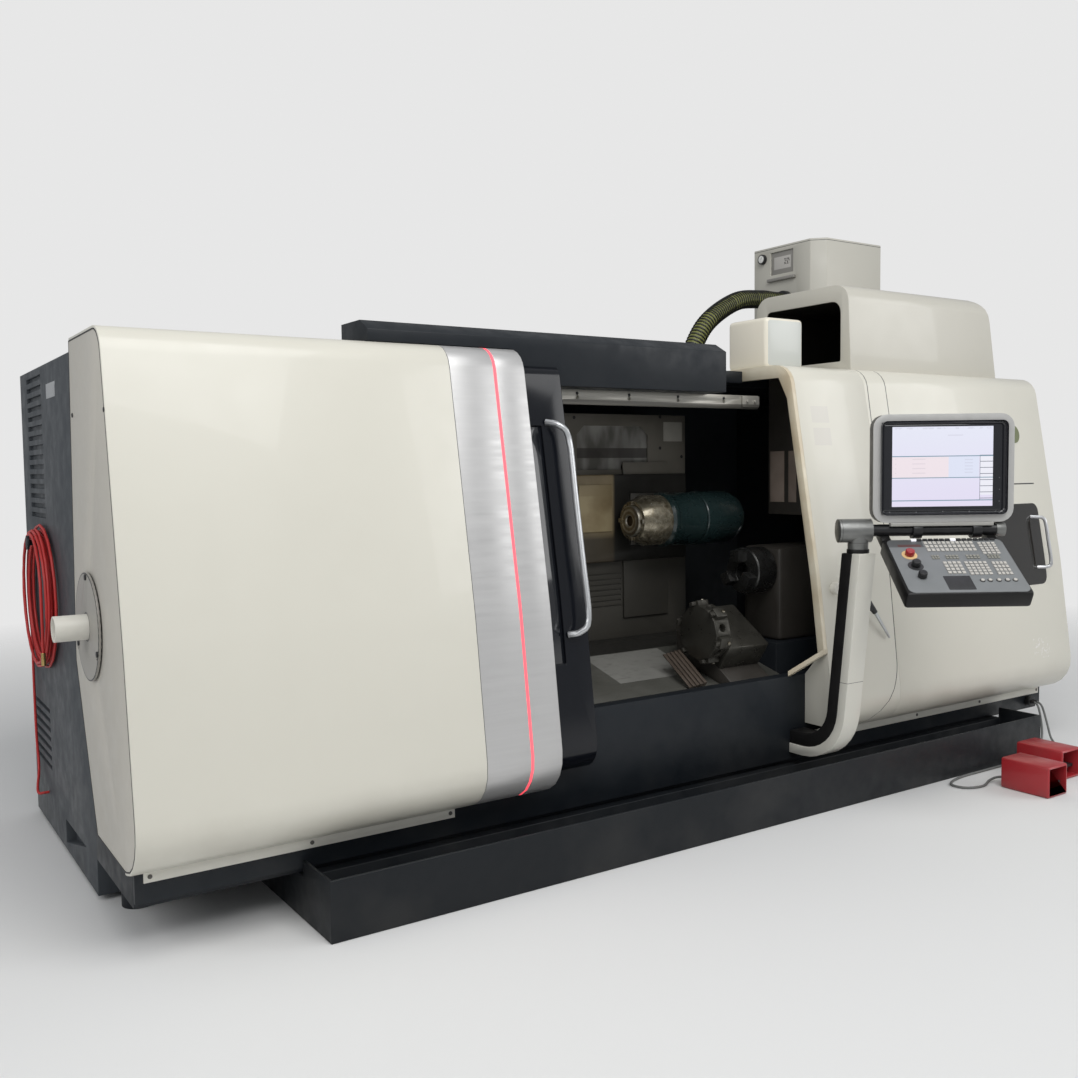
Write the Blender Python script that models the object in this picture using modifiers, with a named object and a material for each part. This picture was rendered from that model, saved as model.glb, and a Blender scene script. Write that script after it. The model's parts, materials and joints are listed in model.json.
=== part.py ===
"""Turn-mill lathe with its sheet-metal enclosure, open at the sliding door.

Metres, +Z up, +X along the spindles from the main spindle to the counter spindle, +Y to the rear.
The origin is on the floor under the middle of the machine, at the door sill's centre line.
"""

import math

import bmesh
import bpy
from mathutils import Matrix, Vector

# Clearance between two pieces that seat on each other, and between pieces that slide
SEAT = 0.0003
SLIDE = 0.002
# Overlap that a joined shape or a cutter runs past its neighbour
LAP = 0.01

# Enclosure sheet, and its section: lower lip, lower front corner, knee and top front corner
SKIN = 0.012
LIP_Y, LIP_Z = -0.8115, 0.290
TOE_Y, TOE_Z, TOE_RADIUS = -1.000, 0.315, 0.170
KNEE_Y, KNEE_Z, KNEE_RADIUS = -0.905, 1.040, 3.000
BROW_Y, BROW_RADIUS = -0.722, 0.110
COVER_TOP = 2.071
LEFT_COVER_BACK = -0.227
RIGHT_COVER_BACK = 0.120

# Places along the machine
BASE_LEFT, BASE_RIGHT = -2.540, 2.540
COVER_OVERHANG = 0.028
COVER_LEFT, COVER_RIGHT = BASE_LEFT - COVER_OVERHANG, BASE_RIGHT + COVER_OVERHANG
BAND_LEFT, BAND_RIGHT = -1.300, -0.960
LAMP_X, LAMP_WIDTH, LAMP_DEPTH = -1.105, 0.012, 0.006
FRAME_LEFT, FRAME_RIGHT, FRAME_DEPTH, FRAME_BACK = 0.556, 0.580, 0.040, -0.240
FRAME_HEAD_DEPTH, FRAME_CORNER_Y, FRAME_CORNER_Z = 0.062, -0.655, 1.905
SILL_DEPTH, SILL_LEAN = 0.025, 0.650
SERVICE_SEAM = 1.076
RETURN_WIDTH, RETURN_LOW, RETURN_TOP = 0.012, 0.345, 0.700

# Base, apron and coolant tank
BASE_BACK = 1.050
BASE_BOTTOM, BED_TOP = 0.160, 0.420
APRON_FRONT, APRON_THICK = -0.808, 0.023
APRON_BOTTOM, APRON_TOP = 0.180, 0.583
APRON_FLANGE_BACK, APRON_FLANGE_THICK = -0.740, 0.012
HEAD_BLOCK_RIGHT, HEAD_BLOCK_TOP, HEAD_BLOCK_FRONT = -1.000, 0.800, -0.735
TANK_LEFT, TANK_RIGHT, TANK_FRONT, TANK_HEIGHT = -1.975, 2.130, -1.072, 0.217
TANK_TROUGH_BACK, TANK_BACK, TANK_WALL = -0.825, 0.100, 0.012
FOOT_RADIUS = 0.060
STRIP_BOTTOM, STRIP_THICK, STRIP_INSET = 0.250, 0.008, 0.055
SCREW_RADIUS, SCREW_STAND, SCREW_MARGIN = 0.008, 0.003, 0.020
PLATE_BACK_Y, PLATE_BACK_Z, PLATE_FOOT_Y, PLATE_FOOT_Z = -0.137, 0.898, -0.402, 0.308
CHIP_SLOPE_FRONT_Z, CHIP_SLOPE_BACK_Z, CHIP_SLOPE_BACK_Y = 0.515, 0.700, -0.100
CHIP_SLOPE_RIGHT, CHIP_SLOPE_END_Y = 0.590, 0.040
COLUMN_WAY_LEFT, COLUMN_WAY_RIGHT, COLUMN_WAY_TOP = -1.220, 1.420, 0.600
COUNTER_WAY_LEFT, COUNTER_WAY_RIGHT, COUNTER_WAY_TOP = 0.600, 2.450, 0.700
RAIL_WIDTH, RAIL_HEIGHT = 0.050, 0.030

# Electrical cabinet
CABINET_RIGHT, CABINET_FRONT, CABINET_BACK = -1.250, -0.223, 1.100
CABINET_BOTTOM, CABINET_TOP = 0.020, 2.040
CABINET_DOOR_THICK, CABINET_DOOR_INSET = 0.025, 0.020
CABINET_DOOR_BOTTOM, CABINET_DOOR_TOP = 0.150, 1.980
VENT_Y, VENT_WIDTH, VENT_BOTTOM, VENT_TOP, VENT_PITCH = 0.750, 0.360, 1.400, 1.990, 0.042
LOW_VENT_Y, LOW_VENT_BOTTOM, LOW_VENT_TOP = 0.850, 0.290, 0.560
SLOT_HEIGHT, SLOT_DEPTH = 0.020, 0.015
GUSSET_BACK, GUSSET_FRONT, GUSSET_LOW, GUSSET_HIGH, GUSSET_DEPTH = 0.390, -0.025, 0.050, 0.150, 0.040

# Roof, rear housing and the beam that carries the door
ROOF_BOTTOM, ROOF_FRONT = 2.000, -0.220
BEAM_LEFT, BEAM_RIGHT, BEAM_FRONT, BEAM_BACK = -1.600, 0.220, -0.650, -0.410
BEAM_BOTTOM, BEAM_TOP, BEAM_CHAMFER_Y, BEAM_CHAMFER_Z = 1.930, 2.157, 0.070, 0.040
BEAM_DROP_LEFT = -0.955
TOP_RAIL_FRONT, TOP_RAIL_THICK, TOP_RAIL_HEIGHT = -0.520, 0.030, 0.065
WORK_WALL_Y, WORK_WALL_RIGHT = 0.560, 1.450
SIDE_WALL_X, SIDE_WALL_FRONT, SIDE_WALL_BACK, SIDE_WALL_BOTTOM = 0.860, -0.600, -0.290, 1.330

# Hood, guard box and mist extractor on the roof
COWL_LEFT, COWL_RIGHT, COWL_FRONT, COWL_BACK, COWL_TOP = 1.150, 2.400, -0.590, 0.090, 2.525
COWL_FRONT_RADIUS, COWL_END_RADIUS, COWL_END_LEAN, COWL_FRONT_LEAN = 0.090, 0.150, 0.060, 0.020
MOUTH_FRONT, MOUTH_BACK, MOUTH_BOTTOM, MOUTH_TOP = -0.520, 0.010, 2.125, 2.440
MOUTH_RADIUS, MOUTH_DEPTH = 0.060, 0.900
GUARD_LEFT, GUARD_RIGHT, GUARD_FRONT, GUARD_BACK, GUARD_TOP = 0.620, 0.885, -0.512, -0.235, 2.325
EXTRACTOR_LEFT, EXTRACTOR_RIGHT, EXTRACTOR_FRONT, EXTRACTOR_BACK = 1.730, 2.290, 0.150, 0.690
EXTRACTOR_TOP, EXTRACTOR_CHAMFER, EXTRACTOR_LID = 2.955, 0.050, 0.012
DISPLAY_Y, DISPLAY_Z, DISPLAY_WIDTH, DISPLAY_HEIGHT, DISPLAY_DEPTH = 0.455, 2.850, 0.190, 0.140, 0.020
HOSE_RADIUS, HOSE_INLET_X, HOSE_INLET_Y, HOSE_OUTLET_Y, HOSE_OUTLET_Z = 0.050, 0.820, 0.300, 0.420, 2.600

# Spindle line
SPINDLE_Y, SPINDLE_Z = -0.420, 1.055
HEADSTOCK_LEFT, HEADSTOCK_RIGHT, HEADSTOCK_TOP = -1.900, -1.030, 1.360
HEADSTOCK_BACK = -0.240
SPINDLE_RADIUS, CHUCK_RADIUS, CHUCK_FACE, CHUCK_LENGTH = 0.100, 0.200, -0.800, 0.190
JAW_LENGTH, JAW_WIDTH, JAW_INNER, JAW_MARGIN = 0.055, 0.060, 0.050, 0.012
CAP_RADIUS, CAP_THICK, CAP_SCREW_CIRCLE, CAP_SCREW_RADIUS = 0.190, 0.013, 0.175, 0.010
TUBE_RADIUS, TUBE_WALL, TUBE_STANDS_OUT, TUBE_INSIDE = 0.045, 0.006, 0.122, 0.218
TUBE_LEFT, TUBE_LENGTH = COVER_LEFT - TUBE_STANDS_OUT, TUBE_STANDS_OUT + TUBE_INSIDE
COUNTER_RADIUS, COUNTER_FACE, COUNTER_CHUCK_LENGTH, COUNTER_SHAFT_RADIUS = 0.118, 0.545, 0.130, 0.070
SHAFT_SIDES = 32
COUNTER_HOUSING_LENGTH, COUNTER_HALF_WIDTH, COUNTER_TOP = 0.680, 0.130, 1.172

# Travelling column with the milling head
COLUMN_LEFT, COLUMN_RIGHT, COLUMN_FRONT, COLUMN_BACK = -0.400, 0.585, 0.060, 0.500
COLUMN_TOP, COLUMN_FOOT = 1.860, 0.050
HEAD_X, HEAD_Y, HEAD_Z, HEAD_RADIUS = 0.300, -0.130, 1.316, 0.140
HEAD_TAIL, HEAD_NOSE, TAIL_ROUND, TOOL_RADIUS, TOOL_LENGTH = 0.450, 0.253, 0.080, 0.078, 0.058
RAM_HALF_WIDTH, RAM_HALF_HEIGHT, RAM_BACK, LIFT_UP, LIFT_DOWN = 0.130, 0.135, 0.450, 0.140, 0.300
SLIDE_LEFT, SLIDE_RIGHT, SLIDE_BOTTOM, SLIDE_TOP, SLIDE_FRONT = -0.170, 0.560, 1.100, 1.550, 0.020
BOSS_RADIUS = 0.120
WAIST_STEP, WAIST_RIGHT, WAIST_LEFT, COLLAR_LEFT = 0.004, 0.160, -0.025, -0.055
NOSE_STEP, NOSE_CONE, NOSE_RADIUS, NOSE_LIP = 0.012, 0.080, 0.100, 0.020
RECESS_LEFT, RECESS_RIGHT, RECESS_BOTTOM, RECESS_TOP, RECESS_DEPTH = -0.135, 0.325, 1.575, 1.800, 0.015
GROOVE_LEFT, GROOVE_RIGHT, GROOVE_BOTTOM, GROOVE_TOP, GROOVE_PITCH = -0.180, 0.140, 0.860, 1.080, 0.028

# Lower turret
SADDLE_LEFT, SADDLE_RIGHT, TURRET_X, TURRET_BLOCK_WIDTH = 0.184, 0.436, 0.310, 0.260
SADDLE_FRONT, SADDLE_BACK, SADDLE_EDGE = -0.715, -0.330, 0.040
TURRET_SLOPE = math.radians(34.0)
TURRET_BLOCK_LENGTH, TURRET_BLOCK_HEIGHT = 0.300, 0.130
BLOCK_ALONG, DISC_OUT, DISC_ALONG = 0.240, 0.055, -0.010
DISC_RADIUS, DISC_THICK, DISC_STATIONS, STATION_BORE, STATION_DEPTH = 0.130, 0.090, 12, 0.020, 0.035

# Sliding door
DOOR_INSET, DOOR_THICK = 0.060, 0.030
DOOR_RIGHT, DOOR_WIDTH, DOOR_BOTTOM_BACK = -0.745, 1.500, -0.860
WINDOW_LEFT_MARGIN, WINDOW_RIGHT_MARGIN, WINDOW_BOTTOM, WINDOW_TOP = 0.180, 0.120, 0.800, 1.760
GLASS_THICK = 0.010
GRIP_RADIUS, GRIP_BOTTOM, GRIP_TOP, GRIP_X, GRIP_RETURN, GRIP_STAND = 0.013, 0.950, 1.740, -0.775, 0.070, 0.055
SERVICE_GRIP_INSET, SERVICE_GRIP_RETURN, SERVICE_GRIP_LOW, SERVICE_GRIP_HIGH = 0.183, 0.050, 1.000, 1.280
SERVICE_GRIP_RADIUS = 0.010

# Panel arm: section, and the line that its middle follows in the plane across the machine
ARM_X, ARM_WIDTH, ARM_SHELL_DEPTH, ARM_CABLE_DEPTH = 0.526, 0.106, 0.045, 0.063
ARM_FOOT_Z, ARM_BEND_Y, ARM_BEND_RADIUS, ARM_TOP_Y, ARM_TOP_Z = 0.262, -1.078, 0.210, -1.180, 1.190
PANEL_Y, PANEL_Z, PANEL_YAW = -1.169, 1.290, math.radians(-33.56)
STEM_RADIUS, TEE_RADIUS, TEE_LEFT, TEE_RIGHT = 0.045, 0.053, -0.090, 0.055
BAR_RADIUS, BAR_SIDES, BAR_RIGHT, RING_RADIUS, RING_WIDTH = 0.027, 24, 0.610, 0.032, 0.040
SCREEN_LEFT, SCREEN_RIGHT, SCREEN_BOTTOM, SCREEN_TOP, SCREEN_DEPTH = 0.058, 0.682, 0.034, 0.514, 0.055
SCREEN_RADIUS, SCREEN_RIM = 0.060, 0.036
KEYS_LEFT, KEYS_RIGHT, KEYS_LENGTH, KEYS_THICK, KEYS_SLOPE = 0.095, 0.625, 0.400, 0.078, math.radians(31.0)
KEYS_GAP, KEYS_TOP, LUG_WIDTH, LUG_WALL, LUG_INSET = 0.025, -0.012, 0.040, 0.012, 0.180
STOP_X, STOP_RUN, STOP_RADIUS, STOP_HEIGHT = 0.181, 0.125, 0.020, 0.028
KNOB_RUN, KNOB_RADIUS, KNOB_HEIGHT, KNOB_NECK, KNOB_STAND = 0.080, 0.019, 0.030, 0.010, 0.004

# Foot switches, their cables, and the air hose hung on the cabinet
PEDAL_X, PEDAL_PITCH_X, PEDAL_FRONT, PEDAL_PITCH_Y = 1.500, 0.330, -1.550, 0.130
PEDAL_WIDTH, PEDAL_LENGTH, PEDAL_HEIGHT, PEDAL_WALL = 0.160, 0.250, 0.150, 0.012
CABLE_RADIUS, FLOOR_GAP = 0.006, 0.0005
COIL_Y, COIL_Z, COIL_RADIUS, COIL_THICK, COIL_STEPS = 0.620, 1.060, 0.280, 0.030, 36
HOOK_RADIUS = 0.012
AIR_HOSE_RADIUS = 0.006

COLOURS = {
    "cream": ((0.78, 0.76, 0.69), 0.35, 0.0),
    "pale_grey": ((0.62, 0.60, 0.56), 0.45, 0.0),
    "anthracite": ((0.035, 0.042, 0.050), 0.45, 0.0),
    "cabinet_grey": ((0.075, 0.083, 0.092), 0.45, 0.0),
    "silver": ((0.52, 0.53, 0.54), 0.35, 0.9),
    "lamp_red": ((0.85, 0.22, 0.24), 0.40, 0.0),
    "black": ((0.012, 0.012, 0.014), 0.30, 0.0),
    "glass": ((0.02, 0.025, 0.03), 0.08, 0.0),
    "steel": ((0.42, 0.41, 0.39), 0.35, 0.9),
    "cast_grey": ((0.26, 0.26, 0.25), 0.55, 0.2),
    "tan": ((0.46, 0.38, 0.24), 0.50, 0.0),
    "teal": ((0.025, 0.075, 0.075), 0.25, 0.0),
    "white": ((0.80, 0.79, 0.75), 0.40, 0.0),
    "key_grey": ((0.22, 0.23, 0.24), 0.50, 0.0),
    "red": ((0.55, 0.03, 0.04), 0.45, 0.0),
    "green_hose": ((0.30, 0.31, 0.10), 0.55, 0.0),
}

for old in list(bpy.data.objects):
    bpy.data.objects.remove(old)


def collection(name, hidden=False):
    made = bpy.data.collections.new(name)
    bpy.context.scene.collection.children.link(made)
    made.hide_render = hidden
    return made


LATHE = collection("turning_lathe")
CUTTERS = collection("cutters", hidden=True)


def material(name):
    found = bpy.data.materials.get(name)
    if found:
        return found
    colour, roughness, metallic = COLOURS[name]
    made = bpy.data.materials.new(name)
    made.use_nodes = True
    shader = made.node_tree.nodes["Principled BSDF"]
    shader.inputs["Base Color"].default_value = (*colour, 1.0)
    shader.inputs["Roughness"].default_value = roughness
    shader.inputs["Metallic"].default_value = metallic
    return made


def place(obj, name, finish=None):
    """Names an object and puts it with the parts, or with the cutters if it has no finish."""
    obj.name = name
    for group in list(obj.users_collection):
        group.objects.unlink(obj)
    if finish:
        LATHE.objects.link(obj)
        obj.data.materials.clear()
        obj.data.materials.append(material(finish))
    else:
        CUTTERS.objects.link(obj)
        obj.hide_render = True
        obj.display_type = "WIRE"
    return obj


def apply_scale(obj):
    obj.data.transform(Matrix.Diagonal((*obj.scale, 1.0)))
    obj.scale = (1.0, 1.0, 1.0)


def bevel(obj, width, segments=2, angle=30.0):
    rounding = obj.modifiers.new("rounding", "BEVEL")
    rounding.width = width
    rounding.segments = segments
    rounding.limit_method = "ANGLE"
    rounding.angle_limit = math.radians(angle)
    return obj


def box(name, low, high, finish=None, round_by=0.0, segments=2):
    middle = [(a + b) / 2 for a, b in zip(low, high)]
    bpy.ops.mesh.primitive_cube_add(size=1.0, location=middle)
    obj = bpy.context.object
    obj.scale = [b - a for a, b in zip(low, high)]
    apply_scale(obj)
    if round_by:
        bevel(obj, round_by, segments)
    return place(obj, name, finish)


def rod(name, start, end, radius, finish=None, sides=24):
    """A round bar from start to end."""
    start, end = Vector(start), Vector(end)
    run = end - start
    bpy.ops.mesh.primitive_cone_add(
        vertices=sides,
        radius1=radius,
        radius2=radius,
        depth=run.length,
        location=(start + end) / 2,
        rotation=run.to_track_quat("Z", "Y").to_euler(),
    )
    return place(bpy.context.object, name, finish)


def across(name, outline, left, right, finish=None):
    """A sheet or block whose (Y, Z) outline runs along X from left to right."""
    data = bpy.data.curves.new(name, "CURVE")
    data.dimensions = "2D"
    data.fill_mode = "BOTH"
    data.extrude = (right - left) / 2
    spline = data.splines.new("POLY")
    spline.points.add(len(outline) - 1)
    for point, (y, z) in zip(spline.points, outline):
        point.co = (y, z, 0.0, 1.0)
    spline.use_cyclic_u = True
    obj = bpy.data.objects.new(name, data)
    LATHE.objects.link(obj)
    obj.rotation_euler = (math.pi / 2, 0.0, math.pi / 2)
    obj.location = ((left + right) / 2, 0.0, 0.0)
    return place(as_mesh(obj), name, finish)


def as_mesh(obj):
    """The welded mesh of a curve, with the curve removed."""
    bpy.context.view_layer.update()
    graph = bpy.context.evaluated_depsgraph_get()
    data = bpy.data.meshes.new_from_object(obj.evaluated_get(graph))
    made = bpy.data.objects.new(obj.name + "_mesh", data)
    made.matrix_world = obj.matrix_world.copy()
    work = bmesh.new()
    work.from_mesh(data)
    bmesh.ops.remove_doubles(work, verts=work.verts, dist=1e-5)
    bmesh.ops.recalc_face_normals(work, faces=work.faces)
    work.to_mesh(data)
    work.free()
    bpy.data.objects.remove(obj)
    return made


def combine(obj, other, operation):
    joint = obj.modifiers.new(operation.lower(), "BOOLEAN")
    joint.operation = operation
    joint.object = other
    return obj


def cut(obj, *cutters):
    for cutter in cutters:
        combine(obj, cutter, "DIFFERENCE")
    return obj


def running_bore(radius, sides):
    """Radius of a faceted bore whose flats clear a turning shaft of this radius."""
    return (radius + SEAT) / math.cos(math.pi / sides)


def join(obj, *others):
    for other in others:
        combine(obj, other, "UNION")
    return obj


def turned(name, profile, finish=None, steps=32):
    """A solid turned about its local Z, from (radius, height) pairs that run from the top to the bottom."""
    data = bpy.data.meshes.new(name)
    data.from_pydata(
        [(radius, 0.0, height) for radius, height in profile],
        [(i, i + 1) for i in range(len(profile) - 1)],
        [],
    )
    obj = bpy.data.objects.new(name, data)
    LATHE.objects.link(obj)
    spin = obj.modifiers.new("spin", "SCREW")
    spin.steps = steps
    spin.render_steps = steps
    spin.use_merge_vertices = True
    spin.merge_threshold = 0.0001
    return place(obj, name, finish)


def along_x(obj, x, y, z):
    """Lays a turned piece down so that its local Z is +X."""
    obj.location = (x, y, z)
    obj.rotation_euler = (0.0, math.pi / 2, 0.0)
    return obj


def smooth_route(points, count):
    """Points of one smooth curve through the given ones, spaced evenly in the curve's parameter."""
    path = [Vector(p) for p in points]
    path = [2 * path[0] - path[1]] + path + [2 * path[-1] - path[-2]]
    spans = len(path) - 3
    route = []
    for i in range(count):
        where = i / (count - 1) * spans
        k = min(int(where), spans - 1)
        t = where - k
        a, b, c, d = path[k : k + 4]
        route.append(
            0.5
            * (
                2 * b
                + (c - a) * t
                + (2 * a - 5 * b + 4 * c - d) * t * t
                + (3 * b - a - 3 * c + d) * t**3
            )
        )
    return route


def tube(name, points, radius, finish, resolution=2, count=40):
    data = bpy.data.curves.new(name, "CURVE")
    data.dimensions = "3D"
    data.bevel_depth = radius
    data.bevel_resolution = resolution
    data.use_fill_caps = True
    route = smooth_route(points, count)
    spline = data.splines.new("POLY")
    spline.points.add(len(route) - 1)
    for point, (x, y, z) in zip(spline.points, route):
        point.co = (x, y, max(z, radius + FLOOR_GAP), 1.0)
    obj = bpy.data.objects.new(name, data)
    LATHE.objects.link(obj)
    return place(obj, name, finish)


def rounded(corners, steps=5):
    """The points of an open line whose corners, given as (y, z, radius), are arcs."""
    points = [corners[0][:2]]
    for before, (y, z, radius), after in zip(corners, corners[1:], corners[2:]):
        corner = Vector((y, z))
        back = (Vector(before[:2]) - corner).normalized()
        ahead = (Vector(after[:2]) - corner).normalized()
        half = back.angle(ahead) / 2
        middle = corner + (back + ahead).normalized() * radius / math.sin(half)
        first = corner + back * radius / math.tan(half) - middle
        turn = math.pi - 2 * half
        side = 1.0 if back.x * ahead.y - back.y * ahead.x > 0 else -1.0
        for k in range(steps + 1):
            swing = side * -turn * k / steps
            spun = Vector(
                (
                    first.x * math.cos(swing) - first.y * math.sin(swing),
                    first.x * math.sin(swing) + first.y * math.cos(swing),
                )
            )
            points.append(tuple(middle + spun))
    points.append(corners[-1][:2])
    return points


def rounded_loop(corners):
    """The points of a closed outline whose corners are arcs."""
    return rounded([corners[-1], *corners, corners[0]])[1:-1]


def inset_corners(corners, inset):
    """The corners of a line that runs inside the given one, with its arcs on the same centres."""
    lines = []
    for (y0, z0, _), (y1, z1, _) in zip(corners, corners[1:]):
        run = Vector((y1 - y0, z1 - z0)).normalized()
        lines.append((Vector((y0, z0)) + Vector((run.y, -run.x)) * inset, run))
    made = [(*lines[0][0], 0.0)]
    for (start, run), (other, turn), (_, _, radius) in zip(lines, lines[1:], corners[1:]):
        cross = run.x * turn.y - run.y * turn.x
        gap = other - start
        along = (gap.x * turn.y - gap.y * turn.x) / cross
        made.append((*(start + run * along), radius - inset))
    (y0, z0, _), (y1, z1, _) = corners[-2:]
    run = Vector((y1 - y0, z1 - z0)).normalized()
    made.append((y1 + run.y * inset, z1 - run.x * inset, 0.0))
    return made


def cover_line(inset=0.0, back=LEFT_COVER_BACK):
    """The enclosure's section from its lower lip round the front to the back of its top."""
    return rounded(
        inset_corners(
            [
                (LIP_Y, LIP_Z, 0.0),
                (TOE_Y, TOE_Z, TOE_RADIUS),
                (KNEE_Y, KNEE_Z, KNEE_RADIUS),
                (BROW_Y, COVER_TOP, BROW_RADIUS),
                (back, COVER_TOP, 0.0),
            ],
            inset,
        )
    )


def sheet(inner, outer=0.0, back=LEFT_COVER_BACK):
    """The closed section of a sheet between two insets from the enclosure's outer face."""
    return cover_line(outer, back) + cover_line(inner, back)[::-1]


def trimmed(line, top_back, bottom_back):
    """A section line cut off at top_back above its middle and at bottom_back below it."""
    kept = []
    for (y0, z0), (y1, z1) in zip(line, line[1:]):
        limit = top_back if z0 + z1 > 2 * KNEE_Z else bottom_back
        if y0 <= limit:
            kept.append((y0, z0))
        if (y0 <= limit) != (y1 <= limit):
            share = (limit - y0) / (y1 - y0)
            kept.append((limit, z0 + (z1 - z0) * share))
    return kept


def front_face(z, inset=0.0):
    """Y of the enclosure's front at a height, at an inset from its outer face."""
    line = cover_line(inset)
    for (y0, z0), (y1, z1) in zip(line[1:], line[2:]):
        if z0 <= z <= z1:
            return y0 + (y1 - y0) * (z - z0) / (z1 - z0)
    return KNEE_Y


def make_base():
    bed = box(
        "bed_frame",
        (CABINET_RIGHT + SEAT, APRON_FRONT + APRON_THICK + SEAT, BASE_BOTTOM),
        (BASE_RIGHT, BASE_BACK, BED_TOP),
        "anthracite",
    )
    head_block = box(
        "head_block",
        (BASE_LEFT, HEAD_BLOCK_FRONT, BED_TOP - LAP),
        (HEAD_BLOCK_RIGHT, CABINET_FRONT - SEAT, HEAD_BLOCK_TOP),
    )
    head_foot = box(
        "head_foot",
        (BASE_LEFT, APRON_FRONT + APRON_THICK + SEAT, BASE_BOTTOM),
        (CABINET_RIGHT + LAP, CABINET_FRONT - SEAT, BED_TOP),
    )
    column_way = box(
        "column_way",
        (COLUMN_WAY_LEFT, COLUMN_FRONT, BED_TOP - LAP),
        (COLUMN_WAY_RIGHT, COLUMN_BACK, COLUMN_WAY_TOP),
    )
    counter_way = box(
        "counter_way",
        (COUNTER_WAY_LEFT, SPINDLE_Y - COUNTER_HALF_WIDTH - RAIL_WIDTH, BED_TOP - LAP),
        (COUNTER_WAY_RIGHT, SPINDLE_Y + COUNTER_HALF_WIDTH + RAIL_WIDTH, COUNTER_WAY_TOP),
    )
    join(bed, head_block, head_foot, column_way, counter_way)
    for y in (COLUMN_FRONT + RAIL_WIDTH, COLUMN_BACK - 2 * RAIL_WIDTH):
        low = (COLUMN_WAY_LEFT, y, COLUMN_WAY_TOP - LAP)
        high = (COLUMN_WAY_RIGHT, y + RAIL_WIDTH, COLUMN_WAY_TOP + RAIL_HEIGHT)
        join(bed, box("column_rail", low, high))
    for x in (BASE_LEFT + 2 * FOOT_RADIUS, TANK_LEFT + 1.9, BASE_RIGHT - 2 * FOOT_RADIUS):
        for y in (CABINET_FRONT - 0.1, BASE_BACK - 2 * FOOT_RADIUS):
            if x < CABINET_RIGHT and y > CABINET_FRONT:
                continue
            if TANK_LEFT < x < TANK_RIGHT and y < TANK_BACK:
                continue
            join(bed, rod("levelling_foot", (x, y, 0.0), (x, y, BASE_BOTTOM + LAP), FOOT_RADIUS, sides=20))

    flange_bottom = APRON_TOP - APRON_FLANGE_THICK
    apron_back = APRON_FRONT + APRON_THICK
    across(
        "front_apron",
        [
            (APRON_FRONT, APRON_BOTTOM),
            (APRON_FRONT, APRON_TOP),
            (APRON_FLANGE_BACK, APRON_TOP),
            (APRON_FLANGE_BACK, flange_bottom),
            (apron_back, flange_bottom),
            (apron_back, APRON_BOTTOM),
        ],
        BASE_LEFT,
        BASE_RIGHT,
        "anthracite",
    )

    tank = box(
        "coolant_tank",
        (TANK_LEFT, TANK_FRONT, 0.0),
        (TANK_RIGHT, TANK_TROUGH_BACK, TANK_HEIGHT),
        "anthracite",
    )
    rear = box(
        "tank_rear",
        (TANK_LEFT, TANK_TROUGH_BACK - LAP, 0.0),
        (TANK_RIGHT, CABINET_FRONT - LAP, BASE_BOTTOM - SEAT),
    )
    under_bed = box(
        "tank_under_bed",
        (CABINET_RIGHT + LAP, CABINET_FRONT - 2 * LAP, 0.0),
        (TANK_RIGHT, TANK_BACK, BASE_BOTTOM - SEAT),
    )
    trough = box(
        "tank_trough",
        (TANK_LEFT + TANK_WALL, TANK_FRONT + TANK_WALL, TANK_WALL),
        (TANK_RIGHT - TANK_WALL, TANK_TROUGH_BACK + LAP, TANK_HEIGHT + LAP),
    )
    cut(tank, trough)
    join(tank, rear, under_bed)

    slope = [
        (APRON_FRONT + APRON_THICK + SEAT, BED_TOP + SEAT),
        (APRON_FRONT + APRON_THICK + SEAT, CHIP_SLOPE_FRONT_Z),
        (CHIP_SLOPE_BACK_Y, CHIP_SLOPE_BACK_Z),
        (CHIP_SLOPE_END_Y, CHIP_SLOPE_BACK_Z),
        (CHIP_SLOPE_END_Y, BED_TOP + SEAT),
    ]
    across("chip_slope", slope, HEAD_BLOCK_RIGHT + SEAT, CHIP_SLOPE_RIGHT, "steel")


def make_strip(name, left, right, screws):
    """A white flange strip with its screws, fixed to the apron under a cover's lip."""
    strip = box(
        name,
        (left, APRON_FRONT - SEAT - STRIP_THICK, STRIP_BOTTOM),
        (right, APRON_FRONT - SEAT, LIP_Z - SEAT),
        "white",
    )
    for k in range(screws):
        x = left + SCREW_MARGIN + (right - left - 2 * SCREW_MARGIN) * k / (screws - 1)
        face = APRON_FRONT - SEAT - STRIP_THICK
        z = (STRIP_BOTTOM + LIP_Z) / 2
        out, deep = (x, face - SCREW_STAND, z), (x, face + SCREW_STAND, z)
        join(strip, rod("strip_screw", out, deep, SCREW_RADIUS, sides=10))


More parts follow.
